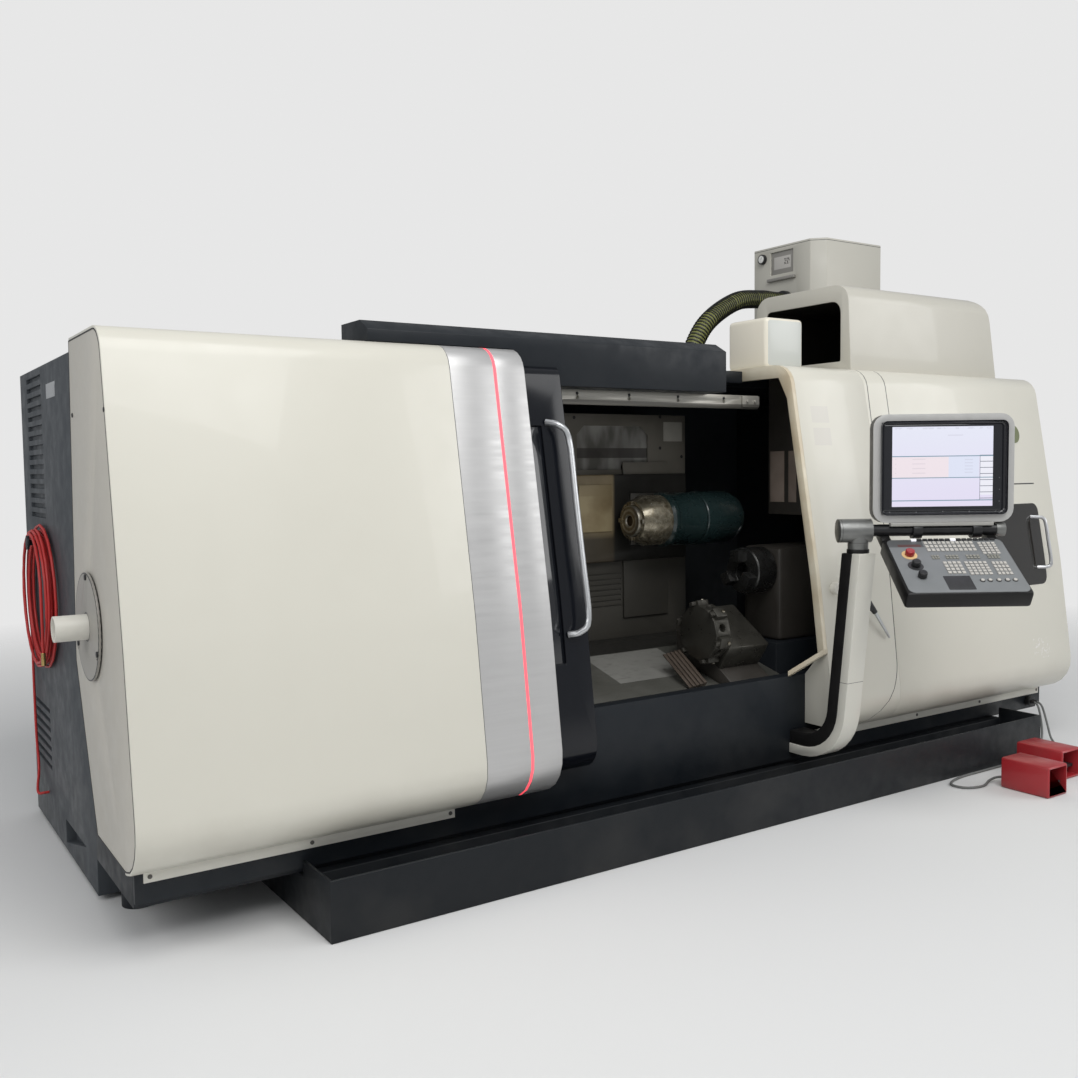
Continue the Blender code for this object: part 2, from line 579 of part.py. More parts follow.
def make_covers():
    across("headstock_cover", sheet(SKIN), COVER_LEFT, BAND_LEFT - SEAT, "cream")
    plate_line = cover_line(SKIN + SEAT)
    plate = across(
        "left_end_plate",
        plate_line + [(PLATE_BACK_Y, PLATE_BACK_Z), (PLATE_FOOT_Y, PLATE_FOOT_Z)],
        COVER_LEFT,
        COVER_LEFT + SKIN,
        "pale_grey",
    )
    cut(
        plate,
        rod(
            "tube_passage",
            (COVER_LEFT - LAP, SPINDLE_Y, SPINDLE_Z),
            (COVER_LEFT + SKIN + LAP, SPINDLE_Y, SPINDLE_Z),
            TUBE_RADIUS + LAP,
        ),
    )

    band = across("silver_band", sheet(SKIN), BAND_LEFT, BAND_RIGHT, "silver")
    groove = across("lamp_groove", sheet(LAMP_DEPTH, -LAP), LAMP_X, LAMP_X + LAMP_WIDTH)
    cut(band, groove)
    across(
        "light_strip",
        sheet(LAMP_DEPTH - SEAT, 0.0),
        LAMP_X + SEAT,
        LAMP_X + LAMP_WIDTH - SEAT,
        "lamp_red",
    )

    cover = across(
        "right_cover",
        sheet(SKIN, 0.0, RIGHT_COVER_BACK),
        FRAME_RIGHT + SEAT,
        SERVICE_SEAM,
        "cream",
    )
    # The cover's left edge turns in to the apron below the opening's frame
    return_back = APRON_FRONT - SEAT
    outer = [(front_face(RETURN_LOW), RETURN_LOW)]
    outer += [(y, z) for y, z in cover_line() if RETURN_LOW < z < KNEE_Z]
    inner = [(front_face(RETURN_TOP, FRAME_DEPTH), RETURN_TOP)]
    inner += [(y, z) for y, z in cover_line(FRAME_DEPTH) if RETURN_TOP < z < KNEE_Z]
    cover_return = across(
        "cover_return",
        [(return_back, RETURN_LOW), *outer, *inner[::-1], (return_back, APRON_TOP)],
        FRAME_RIGHT + SEAT,
        FRAME_RIGHT + SEAT + RETURN_WIDTH,
    )
    join(cover, cover_return)

    service = across(
        "service_cover",
        sheet(SKIN, 0.0, RIGHT_COVER_BACK),
        SERVICE_SEAM + SEAT,
        COVER_RIGHT,
        "cream",
    )
    end = cover_line(0.0, RIGHT_COVER_BACK) + [
        (RIGHT_COVER_BACK, APRON_TOP + SEAT),
        (LIP_Y, APRON_TOP + SEAT),
    ]
    join(service, across("service_end", end, COVER_RIGHT - SKIN, COVER_RIGHT))

    make_strip("left_flange_strip", COVER_LEFT + STRIP_INSET, BAND_LEFT - STRIP_INSET, 3)
    make_strip("right_flange_strip", SERVICE_SEAM - 4 * STRIP_INSET, COVER_RIGHT - STRIP_INSET, 4)

    sill_front, sill_back = front_face(RETURN_TOP), APRON_FRONT - SEAT
    outer = [(sill_front, RETURN_TOP)]
    outer += [(y, z) for y, z in trimmed(cover_line(), FRAME_BACK, LIP_Y) if z > RETURN_TOP]
    inner = [(front_face(RETURN_TOP, FRAME_DEPTH), RETURN_TOP)]
    inner += [(y, z) for y, z in cover_line(FRAME_DEPTH) if RETURN_TOP < z < FRAME_CORNER_Z]
    inner += [(front_face(FRAME_CORNER_Z, FRAME_DEPTH), FRAME_CORNER_Z)]
    head = COVER_TOP - FRAME_HEAD_DEPTH
    corner = [(FRAME_CORNER_Y, head), (FRAME_BACK, head)]
    frame = across("opening_frame", outer + corner[::-1] + inner[::-1], FRAME_LEFT, FRAME_RIGHT, "cream")
    sill = across(
        "frame_sill",
        [
            (sill_front, RETURN_TOP),
            (sill_front, RETURN_TOP + SILL_DEPTH),
            (sill_back, APRON_TOP + SEAT + SILL_DEPTH),
            (sill_back, APRON_TOP + SEAT),
        ],
        FRAME_LEFT,
        FRAME_RIGHT,
    )
    # The sill leans to the left on its way back to the apron: its own X is to the rear, its Z to the right
    for point in sill.data.vertices:
        point.co.z -= SILL_LEAN * (point.co.x - sill_front)
    join(frame, sill)

    face = COVER_LEFT - SEAT
    cap = along_x(
        turned(
            "spindle_end_cap",
            [
                (TUBE_RADIUS + SEAT, CAP_THICK),
                (CAP_RADIUS - 0.004, CAP_THICK),
                (CAP_RADIUS, CAP_THICK - 0.004),
                (CAP_RADIUS, 0.0),
                (TUBE_RADIUS + SEAT, 0.0),
                (TUBE_RADIUS + SEAT, CAP_THICK),
            ],
            "pale_grey",
            steps=48,
        ),
        face - CAP_THICK,
        SPINDLE_Y,
        SPINDLE_Z,
    )
    for k in range(3):
        angle = math.radians(90.0 + 120.0 * k)
        y = SPINDLE_Y + CAP_SCREW_CIRCLE * math.cos(angle)
        z = SPINDLE_Z + CAP_SCREW_CIRCLE * math.sin(angle)
        start = (face - CAP_THICK - 0.004, y, z)
        join(cap, rod("cap_screw", start, (face - CAP_THICK / 2, y, z), CAP_SCREW_RADIUS, sides=12))
    along_x(
        turned(
            "bar_tube",
            [
                (TUBE_RADIUS - TUBE_WALL, TUBE_LENGTH),
                (TUBE_RADIUS, TUBE_LENGTH),
                (TUBE_RADIUS, 0.0),
                (TUBE_RADIUS - TUBE_WALL, 0.0),
                (TUBE_RADIUS - TUBE_WALL, TUBE_LENGTH),
            ],
            "white",
            steps=48,
        ),
        TUBE_LEFT,
        SPINDLE_Y,
        SPINDLE_Z,
    )


def make_cabinet():
    cabinet = box(
        "electrical_cabinet",
        (BASE_LEFT, CABINET_FRONT, CABINET_BOTTOM),
        (CABINET_RIGHT, CABINET_BACK, CABINET_TOP),
        "cabinet_grey",
    )
    for middle, low, high in ((VENT_Y, VENT_BOTTOM, VENT_TOP), (LOW_VENT_Y, LOW_VENT_BOTTOM, LOW_VENT_TOP)):
        for k in range(int((high - low) / VENT_PITCH) + 1):
            z = low + k * VENT_PITCH
            slot = box(
                "vent_slot",
                (BASE_LEFT - LAP, middle - VENT_WIDTH / 2, z),
                (BASE_LEFT + SLOT_DEPTH, middle + VENT_WIDTH / 2, z + SLOT_HEIGHT),
            )
            cut(cabinet, slot)
    gusset = across(
        "gusset_window",
        [(GUSSET_BACK, GUSSET_LOW), (GUSSET_BACK, GUSSET_HIGH), (GUSSET_FRONT, GUSSET_HIGH)],
        BASE_LEFT - LAP,
        BASE_LEFT + GUSSET_DEPTH,
    )
    cut(cabinet, gusset)
    box(
        "cabinet_door",
        (BASE_LEFT + CABINET_DOOR_INSET, CABINET_BACK + SEAT, CABINET_DOOR_BOTTOM),
        (CABINET_RIGHT - CABINET_DOOR_INSET, CABINET_BACK + SEAT + CABINET_DOOR_THICK, CABINET_DOOR_TOP),
        "cabinet_grey",
        round_by=0.004,
    )


def make_housing():
    wall = box(
        "rear_housing",
        (CABINET_RIGHT + SEAT, BASE_BACK - SKIN, BED_TOP + SEAT),
        (COVER_RIGHT, BASE_BACK, ROOF_BOTTOM - SEAT),
        "cabinet_grey",
    )
    side = box(
        "rear_side",
        (COVER_RIGHT - SKIN, RIGHT_COVER_BACK + SEAT, BED_TOP + SEAT),
        (COVER_RIGHT, BASE_BACK, ROOF_BOTTOM - SEAT),
    )
    inner = box(
        "work_area_wall",
        (CABINET_RIGHT + SEAT, WORK_WALL_Y, BED_TOP + SEAT),
        (WORK_WALL_RIGHT, WORK_WALL_Y + SKIN, ROOF_BOTTOM - SEAT),
    )
    web = box(
        "work_area_web",
        (WORK_WALL_RIGHT - SKIN, WORK_WALL_Y, BED_TOP + SEAT),
        (WORK_WALL_RIGHT, BASE_BACK - SKIN / 2, ROOF_BOTTOM - SEAT),
    )
    join(wall, side, inner, web)

    roof_top = COVER_TOP - SKIN - SEAT
    roof = box(
        "roof_panel",
        (CABINET_RIGHT + SEAT, ROOF_FRONT, ROOF_BOTTOM),
        (COVER_RIGHT - SKIN - SEAT, BASE_BACK, roof_top),
        "anthracite",
    )
    front = box(
        "roof_front",
        (BEAM_DROP_LEFT, BEAM_BACK + SEAT, ROOF_BOTTOM),
        (FRAME_LEFT - SEAT, ROOF_FRONT + LAP, roof_top),
    )
    join(roof, front)

    beam_outline = [
        (BEAM_BACK, COVER_TOP + SEAT),
        (BEAM_FRONT, COVER_TOP + SEAT),
        (BEAM_FRONT, BEAM_TOP - BEAM_CHAMFER_Z),
        (BEAM_FRONT + BEAM_CHAMFER_Y, BEAM_TOP),
        (BEAM_BACK, BEAM_TOP),
    ]
    beam = across("door_beam", beam_outline, BEAM_LEFT, BEAM_RIGHT, "anthracite")
    drop = box(
        "beam_drop",
        (BEAM_DROP_LEFT, BEAM_FRONT, BEAM_BOTTOM),
        (BEAM_RIGHT, BEAM_BACK, COVER_TOP + LAP),
    )
    join(beam, drop)

    rail_top = BEAM_BOTTOM - SEAT
    rail = box(
        "top_rail",
        (BEAM_DROP_LEFT, TOP_RAIL_FRONT, rail_top - TOP_RAIL_HEIGHT),
        (FRAME_LEFT - SLIDE, TOP_RAIL_FRONT + TOP_RAIL_THICK, rail_top),
        "steel",
    )
    for k in range(5):
        x = BEAM_DROP_LEFT + 0.12 + 0.29 * k
        z = rail_top - TOP_RAIL_HEIGHT / 2
        hole = rod("rail_bolt_hole", (x, TOP_RAIL_FRONT - LAP, z), (x, TOP_RAIL_FRONT + 0.012, z), 0.009, sides=12)
        cut(rail, hole)

    box(
        "side_wall",
        (SIDE_WALL_X, SIDE_WALL_FRONT, SIDE_WALL_BOTTOM),
        (SIDE_WALL_X + SKIN, SIDE_WALL_BACK, roof_top),
        "cast_grey",
    )


def make_roof_units():
    bottom = COVER_TOP + SEAT
    section = rounded(
        [
            (COWL_FRONT, bottom, 0.0),
            (COWL_FRONT + COWL_FRONT_LEAN, COWL_TOP, COWL_FRONT_RADIUS),
            (COWL_BACK, COWL_TOP, COWL_FRONT_RADIUS),
            (COWL_BACK, bottom, 0.0),
        ]
    )
    cowl = across("cowl", section, COWL_LEFT, COWL_RIGHT, "cream")
    length_line = rounded(
        [
            (COWL_LEFT - LAP, bottom - LAP, 0.0),
            (COWL_LEFT - LAP, COWL_TOP + LAP, 0.0),
            (COWL_RIGHT - COWL_END_LEAN, COWL_TOP, COWL_END_RADIUS),
            (COWL_RIGHT, bottom - LAP, 0.0),
        ]
    )
    end_shape = across("cowl_end_shape", length_line, COWL_FRONT - LAP, COWL_BACK + LAP)
    end_shape.rotation_euler = (math.pi / 2, 0.0, 0.0)
    end_shape.location = (0.0, (COWL_FRONT + COWL_BACK) / 2, 0.0)
    combine(cowl, end_shape, "INTERSECT")
    mouth = rounded_loop(
        [
            (MOUTH_FRONT, MOUTH_BOTTOM, 0.01),
            (MOUTH_FRONT, MOUTH_TOP, MOUTH_RADIUS),
            (MOUTH_BACK, MOUTH_TOP, MOUTH_RADIUS / 2),
            (MOUTH_BACK, MOUTH_BOTTOM, 0.01),
        ]
    )
    cut(cowl, across("cowl_mouth", mouth, COWL_LEFT - LAP, COWL_LEFT + MOUTH_DEPTH))

    box(
        "guard_box",
        (GUARD_LEFT, GUARD_FRONT, bottom),
        (GUARD_RIGHT, GUARD_BACK, GUARD_TOP),
        "cream",
        round_by=0.025,
        segments=3,
    )

    base = COVER_TOP - SKIN
    extractor = box(
        "mist_extractor",
        (EXTRACTOR_LEFT, EXTRACTOR_FRONT, base),
        (EXTRACTOR_RIGHT, EXTRACTOR_BACK, EXTRACTOR_TOP),
        "pale_grey",
    )
    corner = box(
        "extractor_corner",
        (EXTRACTOR_LEFT - EXTRACTOR_CHAMFER, EXTRACTOR_FRONT - EXTRACTOR_CHAMFER, base - LAP),
        (EXTRACTOR_LEFT + EXTRACTOR_CHAMFER, EXTRACTOR_FRONT + EXTRACTOR_CHAMFER, EXTRACTOR_TOP + LAP),
    )
    corner.location = (EXTRACTOR_LEFT, EXTRACTOR_FRONT, (base + EXTRACTOR_TOP) / 2)
    corner.rotation_euler = (0.0, 0.0, math.pi / 4)
    display = box(
        "display_recess",
        (EXTRACTOR_LEFT - LAP, DISPLAY_Y - DISPLAY_WIDTH / 2, DISPLAY_Z - DISPLAY_HEIGHT / 2),
        (EXTRACTOR_LEFT + DISPLAY_DEPTH, DISPLAY_Y + DISPLAY_WIDTH / 2, DISPLAY_Z + DISPLAY_HEIGHT / 2),
    )
    cut(extractor, corner, display)

    tube(
        "extractor_hose",
        [
            (HOSE_INLET_X, HOSE_INLET_Y, COVER_TOP - SKIN),
            (HOSE_INLET_X, HOSE_INLET_Y, COVER_TOP + 0.05),
            (HOSE_INLET_X, HOSE_INLET_Y, COVER_TOP + 0.11),
            (HOSE_INLET_X + 0.15, HOSE_INLET_Y + 0.02, COVER_TOP + 0.33),
            (HOSE_INLET_X + 0.44, HOSE_INLET_Y + 0.08, HOSE_OUTLET_Z - 0.04),
            (EXTRACTOR_LEFT - 0.22, HOSE_OUTLET_Y, HOSE_OUTLET_Z),
            (EXTRACTOR_LEFT - 0.11, HOSE_OUTLET_Y, HOSE_OUTLET_Z),
            (EXTRACTOR_LEFT - SEAT, HOSE_OUTLET_Y, HOSE_OUTLET_Z),
        ],
        HOSE_RADIUS,
        "green_hose",
        resolution=3,
        count=28,
    )


def make_chuck(name, face, radius, length, jaw_side, shaft_end, shaft_radius):
    """A three-jaw chuck with its spindle: jaw_side is the way the jaws point along X."""
    jaw_reach = JAW_LENGTH * jaw_side
    back = face - length * jaw_side
    chuck = rod(name, (back, SPINDLE_Y, SPINDLE_Z), (face, SPINDLE_Y, SPINDLE_Z), radius, "steel", sides=40)
    bevel(chuck, 0.006, 1)
    shaft = rod(
        name + "_shaft",
        (back + LAP * jaw_side, SPINDLE_Y, SPINDLE_Z),
        (shaft_end, SPINDLE_Y, SPINDLE_Z),
        shaft_radius,
        sides=SHAFT_SIDES,
    )
    join(chuck, shaft)
    for k in range(3):
        angle = math.radians(90.0 + 120.0 * k)
        jaw = box(
            name + "_jaw",
            (-JAW_LENGTH, -JAW_WIDTH / 2, JAW_INNER),
            (JAW_LENGTH, JAW_WIDTH / 2, radius - JAW_MARGIN),
        )
        jaw.data.transform(Matrix.Translation(jaw.location))
        jaw.location = (face, SPINDLE_Y, SPINDLE_Z)
        jaw.rotation_euler = (angle - math.pi / 2, 0.0, 0.0)
        join(chuck, jaw)
    bore = rod(
        name + "_bore",
        (face + 2 * jaw_reach, SPINDLE_Y, SPINDLE_Z),
        (face - length / 2 * jaw_side, SPINDLE_Y, SPINDLE_Z),
        JAW_INNER - 0.008,
        sides=24,
    )
    cut(chuck, bore)
    return chuck


def make_spindles():
    headstock = box(
        "headstock",
        (HEADSTOCK_LEFT, HEAD_BLOCK_FRONT + LAP, HEAD_BLOCK_TOP + SEAT),
        (HEADSTOCK_RIGHT, HEADSTOCK_BACK, HEADSTOCK_TOP),
        "cast_grey",
        round_by=0.03,
    )
    bore = rod(
        "headstock_bore",
        (HEADSTOCK_LEFT - LAP, SPINDLE_Y, SPINDLE_Z),
        (HEADSTOCK_RIGHT + LAP, SPINDLE_Y, SPINDLE_Z),
        running_bore(SPINDLE_RADIUS, SHAFT_SIDES),
        sides=SHAFT_SIDES,
    )
    cut(headstock, bore)
    make_chuck(
        "main_chuck", CHUCK_FACE, CHUCK_RADIUS, CHUCK_LENGTH, 1.0, HEADSTOCK_LEFT - 0.05, SPINDLE_RADIUS
    )

    housing_left = COUNTER_FACE + COUNTER_CHUCK_LENGTH + SLIDE
    housing = box(
        "counter_spindle_housing",
        (housing_left, SPINDLE_Y - COUNTER_HALF_WIDTH, COUNTER_WAY_TOP + SEAT),
        (housing_left + COUNTER_HOUSING_LENGTH, SPINDLE_Y + COUNTER_HALF_WIDTH, COUNTER_TOP),
        "cast_grey",
        round_by=0.02,
    )
    pocket_end = housing_left + COUNTER_HOUSING_LENGTH / 2
    pocket = rod(
        "counter_bore",
        (housing_left - LAP, SPINDLE_Y, SPINDLE_Z),
        (pocket_end + SLIDE, SPINDLE_Y, SPINDLE_Z),
        running_bore(COUNTER_SHAFT_RADIUS, SHAFT_SIDES),
        sides=SHAFT_SIDES,
    )
    cut(housing, pocket)
    make_chuck(
        "counter_chuck",
        COUNTER_FACE,
        COUNTER_RADIUS,
        COUNTER_CHUCK_LENGTH,
        -1.0,
        pocket_end,
        COUNTER_SHAFT_RADIUS,
    )


def make_milling_unit():
    column = box(
        "column",
        (COLUMN_LEFT, COLUMN_FRONT, COLUMN_WAY_TOP + RAIL_HEIGHT + SEAT),
        (COLUMN_RIGHT, COLUMN_BACK, COLUMN_TOP),
        "cast_grey",
    )
    pocket = box(
        "ram_pocket",
        (
            HEAD_X - RAM_HALF_WIDTH - LAP,
            COLUMN_FRONT - LAP,
            HEAD_Z - RAM_HALF_HEIGHT - LIFT_DOWN - LAP / 2,
        ),
        (
            HEAD_X + RAM_HALF_WIDTH + LAP,
            RAM_BACK + LAP,
            HEAD_Z + RAM_HALF_HEIGHT + LIFT_UP + LAP / 2,
        ),
    )
    chamfer = 0.045
    recess = across(
        "column_recess",
        [
            (RECESS_LEFT, RECESS_BOTTOM),
            (RECESS_LEFT, RECESS_TOP - chamfer),
            (RECESS_LEFT + chamfer, RECESS_TOP),
            (RECESS_RIGHT - chamfer, RECESS_TOP),
            (RECESS_RIGHT, RECESS_TOP - chamfer),
            (RECESS_RIGHT, RECESS_BOTTOM),
        ],
        -RECESS_DEPTH,
        RECESS_DEPTH,
    )
    recess.rotation_euler = (math.pi / 2, 0.0, 0.0)
    recess.location = (0.0, COLUMN_FRONT, 0.0)
    cut(column, pocket, recess)
    for k in range(int((GROOVE_TOP - GROOVE_BOTTOM) / GROOVE_PITCH)):
        z = GROOVE_BOTTOM + k * GROOVE_PITCH
        groove = box(
            "way_cover_groove",
            (GROOVE_LEFT, COLUMN_FRONT - LAP, z),
            (GROOVE_RIGHT, COLUMN_FRONT + 0.006, z + GROOVE_PITCH / 3),
        )
        cut(column, groove)

    slide = box(
        "head_slide",
        (SLIDE_LEFT, SLIDE_FRONT, SLIDE_BOTTOM),
        (SLIDE_RIGHT, COLUMN_FRONT - SEAT, SLIDE_TOP),
        "tan",
        round_by=0.008,
    )
    passage = box(
        "ram_passage",
        (HEAD_X - RAM_HALF_WIDTH - SEAT, SLIDE_FRONT - LAP, HEAD_Z - RAM_HALF_HEIGHT - SEAT),
        (HEAD_X + RAM_HALF_WIDTH + SEAT, COLUMN_FRONT + LAP, HEAD_Z + RAM_HALF_HEIGHT + SEAT),
    )
    cut(slide, passage)

    head_back = HEAD_Y + HEAD_RADIUS + SEAT
    box(
        "head_ram",
        (HEAD_X - RAM_HALF_WIDTH, head_back + SEAT, HEAD_Z - RAM_HALF_HEIGHT),
        (HEAD_X + RAM_HALF_WIDTH, RAM_BACK, HEAD_Z + RAM_HALF_HEIGHT),
        "steel",
    )

    nose_face = -HEAD_NOSE
    nose_bore = running_bore(TOOL_RADIUS, SHAFT_SIDES)
    tail = HEAD_TAIL
    profile = [
        (0.0, tail),
        (HEAD_RADIUS - TAIL_ROUND, tail),
        (HEAD_RADIUS - TAIL_ROUND * 0.29, tail - TAIL_ROUND * 0.29),
        (HEAD_RADIUS, tail - TAIL_ROUND),
        (HEAD_RADIUS, WAIST_RIGHT + WAIST_STEP),
        (HEAD_RADIUS - WAIST_STEP, WAIST_RIGHT),
        (HEAD_RADIUS - WAIST_STEP, WAIST_LEFT),
        (HEAD_RADIUS, WAIST_LEFT - WAIST_STEP),
        (HEAD_RADIUS, COLLAR_LEFT),
        (HEAD_RADIUS - NOSE_STEP, COLLAR_LEFT - NOSE_STEP),
        (HEAD_RADIUS - NOSE_STEP, nose_face + NOSE_CONE),
        (NOSE_RADIUS, nose_face + NOSE_LIP),
        (nose_bore, nose_face + NOSE_LIP),
        (nose_bore, nose_face + TOOL_LENGTH + SEAT),
        (0.0, nose_face + TOOL_LENGTH + SEAT),
    ]
    head = along_x(turned("milling_head", profile, "teal", steps=SHAFT_SIDES), HEAD_X, HEAD_Y, HEAD_Z)
    boss = rod("swivel_boss", (HEAD_X, HEAD_Y, HEAD_Z), (HEAD_X, head_back, HEAD_Z), BOSS_RADIUS, sides=28)
    join(head, boss)
    along_x(
        turned(
            "tool_spindle",
            [
                (0.0, TOOL_LENGTH),
                (TOOL_RADIUS, TOOL_LENGTH),
                (TOOL_RADIUS, 0.006),
                (TOOL_RADIUS - 0.006, 0.0),
                (0.030, 0.0),
                (0.024, 0.010),
                (0.0, 0.010),
            ],
            "steel",
            steps=SHAFT_SIDES,
        ),
        HEAD_X + nose_face,
        HEAD_Y,
        HEAD_Z,
    )


def slope_z(y):
    """Height of the chip slope's face at a depth."""
    start = APRON_FRONT + APRON_THICK + SEAT
    share = (y - start) / (CHIP_SLOPE_BACK_Y - start)
    return CHIP_SLOPE_FRONT_Z + (CHIP_SLOPE_BACK_Z - CHIP_SLOPE_FRONT_Z) * share


def make_turret():
    rise = (SADDLE_BACK - SADDLE_FRONT) * math.tan(TURRET_SLOPE)
    low_front = slope_z(SADDLE_FRONT) + SEAT
    low_back = slope_z(SADDLE_BACK) + SEAT
    across(
        "lower_saddle",
        [
            (SADDLE_FRONT, low_front),
            (SADDLE_FRONT, low_front + SADDLE_EDGE),
            (SADDLE_BACK, low_front + SADDLE_EDGE + rise),
            (SADDLE_BACK, low_back),
        ],
        SADDLE_LEFT,
        SADDLE_RIGHT,
        "steel",
    )
    face = Vector((0.0, math.cos(TURRET_SLOPE), math.sin(TURRET_SLOPE)))
    out = Vector((0.0, -math.sin(TURRET_SLOPE), math.cos(TURRET_SLOPE)))
    start = Vector((0.0, SADDLE_FRONT, low_front + SADDLE_EDGE))
    middle = start + face * BLOCK_ALONG + out * (SEAT + TURRET_BLOCK_HEIGHT / 2)
    block = box(
        "lower_slide",
        (-TURRET_BLOCK_WIDTH / 2, -TURRET_BLOCK_LENGTH / 2, -TURRET_BLOCK_HEIGHT / 2),
        (TURRET_BLOCK_WIDTH / 2, TURRET_BLOCK_LENGTH / 2, TURRET_BLOCK_HEIGHT / 2),
        "cast_grey",
        round_by=0.008,
    )
    block.location = (TURRET_X, middle.y, middle.z)
    block.rotation_euler = (TURRET_SLOPE, 0.0, 0.0)

    centre = middle + out * DISC_OUT + face * DISC_ALONG
    disc_right = TURRET_X - TURRET_BLOCK_WIDTH / 2 - SEAT
    disc = rod(
        "turret_disc",
        (disc_right - DISC_THICK, centre.y, centre.z),
        (disc_right, centre.y, centre.z),
        DISC_RADIUS,
        "steel",
        sides=DISC_STATIONS,
    )
    for k in range(DISC_STATIONS):
        angle = 2 * math.pi * (k + 0.5) / DISC_STATIONS
        flat = DISC_RADIUS * math.cos(math.pi / DISC_STATIONS)
        away = Vector((0.0, math.cos(angle), math.sin(angle)))
        x = disc_right - DISC_THICK / 2
        hole = rod(
            "station_bore",
            Vector((x, centre.y, centre.z)) + away * (flat - STATION_DEPTH),
            Vector((x, centre.y, centre.z)) + away * (flat + LAP),
            STATION_BORE,
            sides=12,
        )
        cut(disc, hole)


def make_door():
    left = DOOR_RIGHT - DOOR_WIDTH
    # The top edge runs along the beam's face
    top_back = BEAM_FRONT - SEAT
    shape = (
        trimmed(cover_line(DOOR_INSET), top_back, DOOR_BOTTOM_BACK)
        + trimmed(cover_line(DOOR_INSET + DOOR_THICK), top_back, DOOR_BOTTOM_BACK)[::-1]
    )
    panel = across("door_panel", shape, left, DOOR_RIGHT, "black")
    window_left = left + WINDOW_LEFT_MARGIN
    window_right = DOOR_RIGHT - WINDOW_RIGHT_MARGIN
    opening = box(
        "window_opening",
        (window_left, TOE_Y, WINDOW_BOTTOM),
        (window_right, BEAM_FRONT, WINDOW_TOP),
    )
    cut(panel, opening)
    margin = DOOR_INSET + (DOOR_THICK - GLASS_THICK) / 2
    pane = [
        (front_face(WINDOW_BOTTOM + SEAT, margin), WINDOW_BOTTOM + SEAT),
        (front_face(KNEE_Z, margin), KNEE_Z),
        (front_face(WINDOW_TOP - SEAT, margin), WINDOW_TOP - SEAT),
        (front_face(WINDOW_TOP - SEAT, margin + GLASS_THICK), WINDOW_TOP - SEAT),
        (front_face(KNEE_Z, margin + GLASS_THICK), KNEE_Z),
        (front_face(WINDOW_BOTTOM + SEAT, margin + GLASS_THICK), WINDOW_BOTTOM + SEAT),
    ]
    across("door_window", pane, window_left + SEAT, window_right - SEAT, "glass")

    def on_door(x, z, stand):
        return (x, front_face(z, DOOR_INSET) - stand, z)

    bend = 0.035
    grip = [
        on_door(GRIP_X - GRIP_RETURN, GRIP_BOTTOM - bend, GRIP_RADIUS * 0.2),
        on_door(GRIP_X - bend, GRIP_BOTTOM - bend * 0.6, GRIP_STAND * 0.8),
        on_door(GRIP_X, GRIP_BOTTOM + bend, GRIP_STAND),
        on_door(GRIP_X, (GRIP_BOTTOM * 2 + GRIP_TOP) / 3, GRIP_STAND),
        on_door(GRIP_X, (GRIP_BOTTOM + GRIP_TOP * 2) / 3, GRIP_STAND),
        on_door(GRIP_X, GRIP_TOP - bend, GRIP_STAND),
        on_door(GRIP_X - bend, GRIP_TOP + bend * 0.6, GRIP_STAND * 0.8),
        on_door(GRIP_X - GRIP_RETURN, GRIP_TOP + bend, GRIP_RADIUS * 0.2),
    ]
    handle = tube("door_handle_route", grip, GRIP_RADIUS, "silver", count=26)
    handle = place(as_mesh(handle), "door_handle", "silver")
    cut(handle, across("handle_trim", sheet(DOOR_INSET + DOOR_THICK, DOOR_INSET - SEAT), left, DOOR_RIGHT))


def arm_line(outward):
    """(Y, Z) points of a line that runs in front of the seam between the arm's shell and cable cover."""
    corners = [
        (APRON_FRONT - SEAT, ARM_FOOT_Z, 0.0),
        (ARM_BEND_Y, ARM_FOOT_Z, ARM_BEND_RADIUS),
        (ARM_TOP_Y, ARM_TOP_Z, 0.0),
    ]
    line = rounded(inset_corners(corners, -outward), steps=8)
    (y0, z0), (y1, z1) = line[-2:]
    line[-1] = (y0 + (y1 - y0) * (ARM_TOP_Z - z0) / (z1 - z0), ARM_TOP_Z)
    return line


def make_arm():
    seam = arm_line(0.0)
    shell = across(
        "arm_shell",
        arm_line(ARM_SHELL_DEPTH) + seam[::-1],
        ARM_X - ARM_WIDTH / 2,
        ARM_X + ARM_WIDTH / 2,
        "cream",
    )
    bevel(shell, 0.016, 2, angle=50.0)
    across(
        "arm_cable_cover",
        arm_line(-SEAT) + arm_line(-ARM_CABLE_DEPTH)[::-1],
        ARM_X - ARM_WIDTH / 2 + 0.003,
        ARM_X + ARM_WIDTH / 2 - 0.003,
        "black",
    )


def panel_frame():
    """The panel's own frame: origin on the tee, X along the bar, +Y away from the operator."""
    return Matrix.Translation((ARM_X, PANEL_Y, PANEL_Z)) @ Matrix.Rotation(PANEL_YAW, 4, "Z")


def set_on_panel(obj):
    obj.matrix_world = panel_frame() @ obj.matrix_world
    return obj


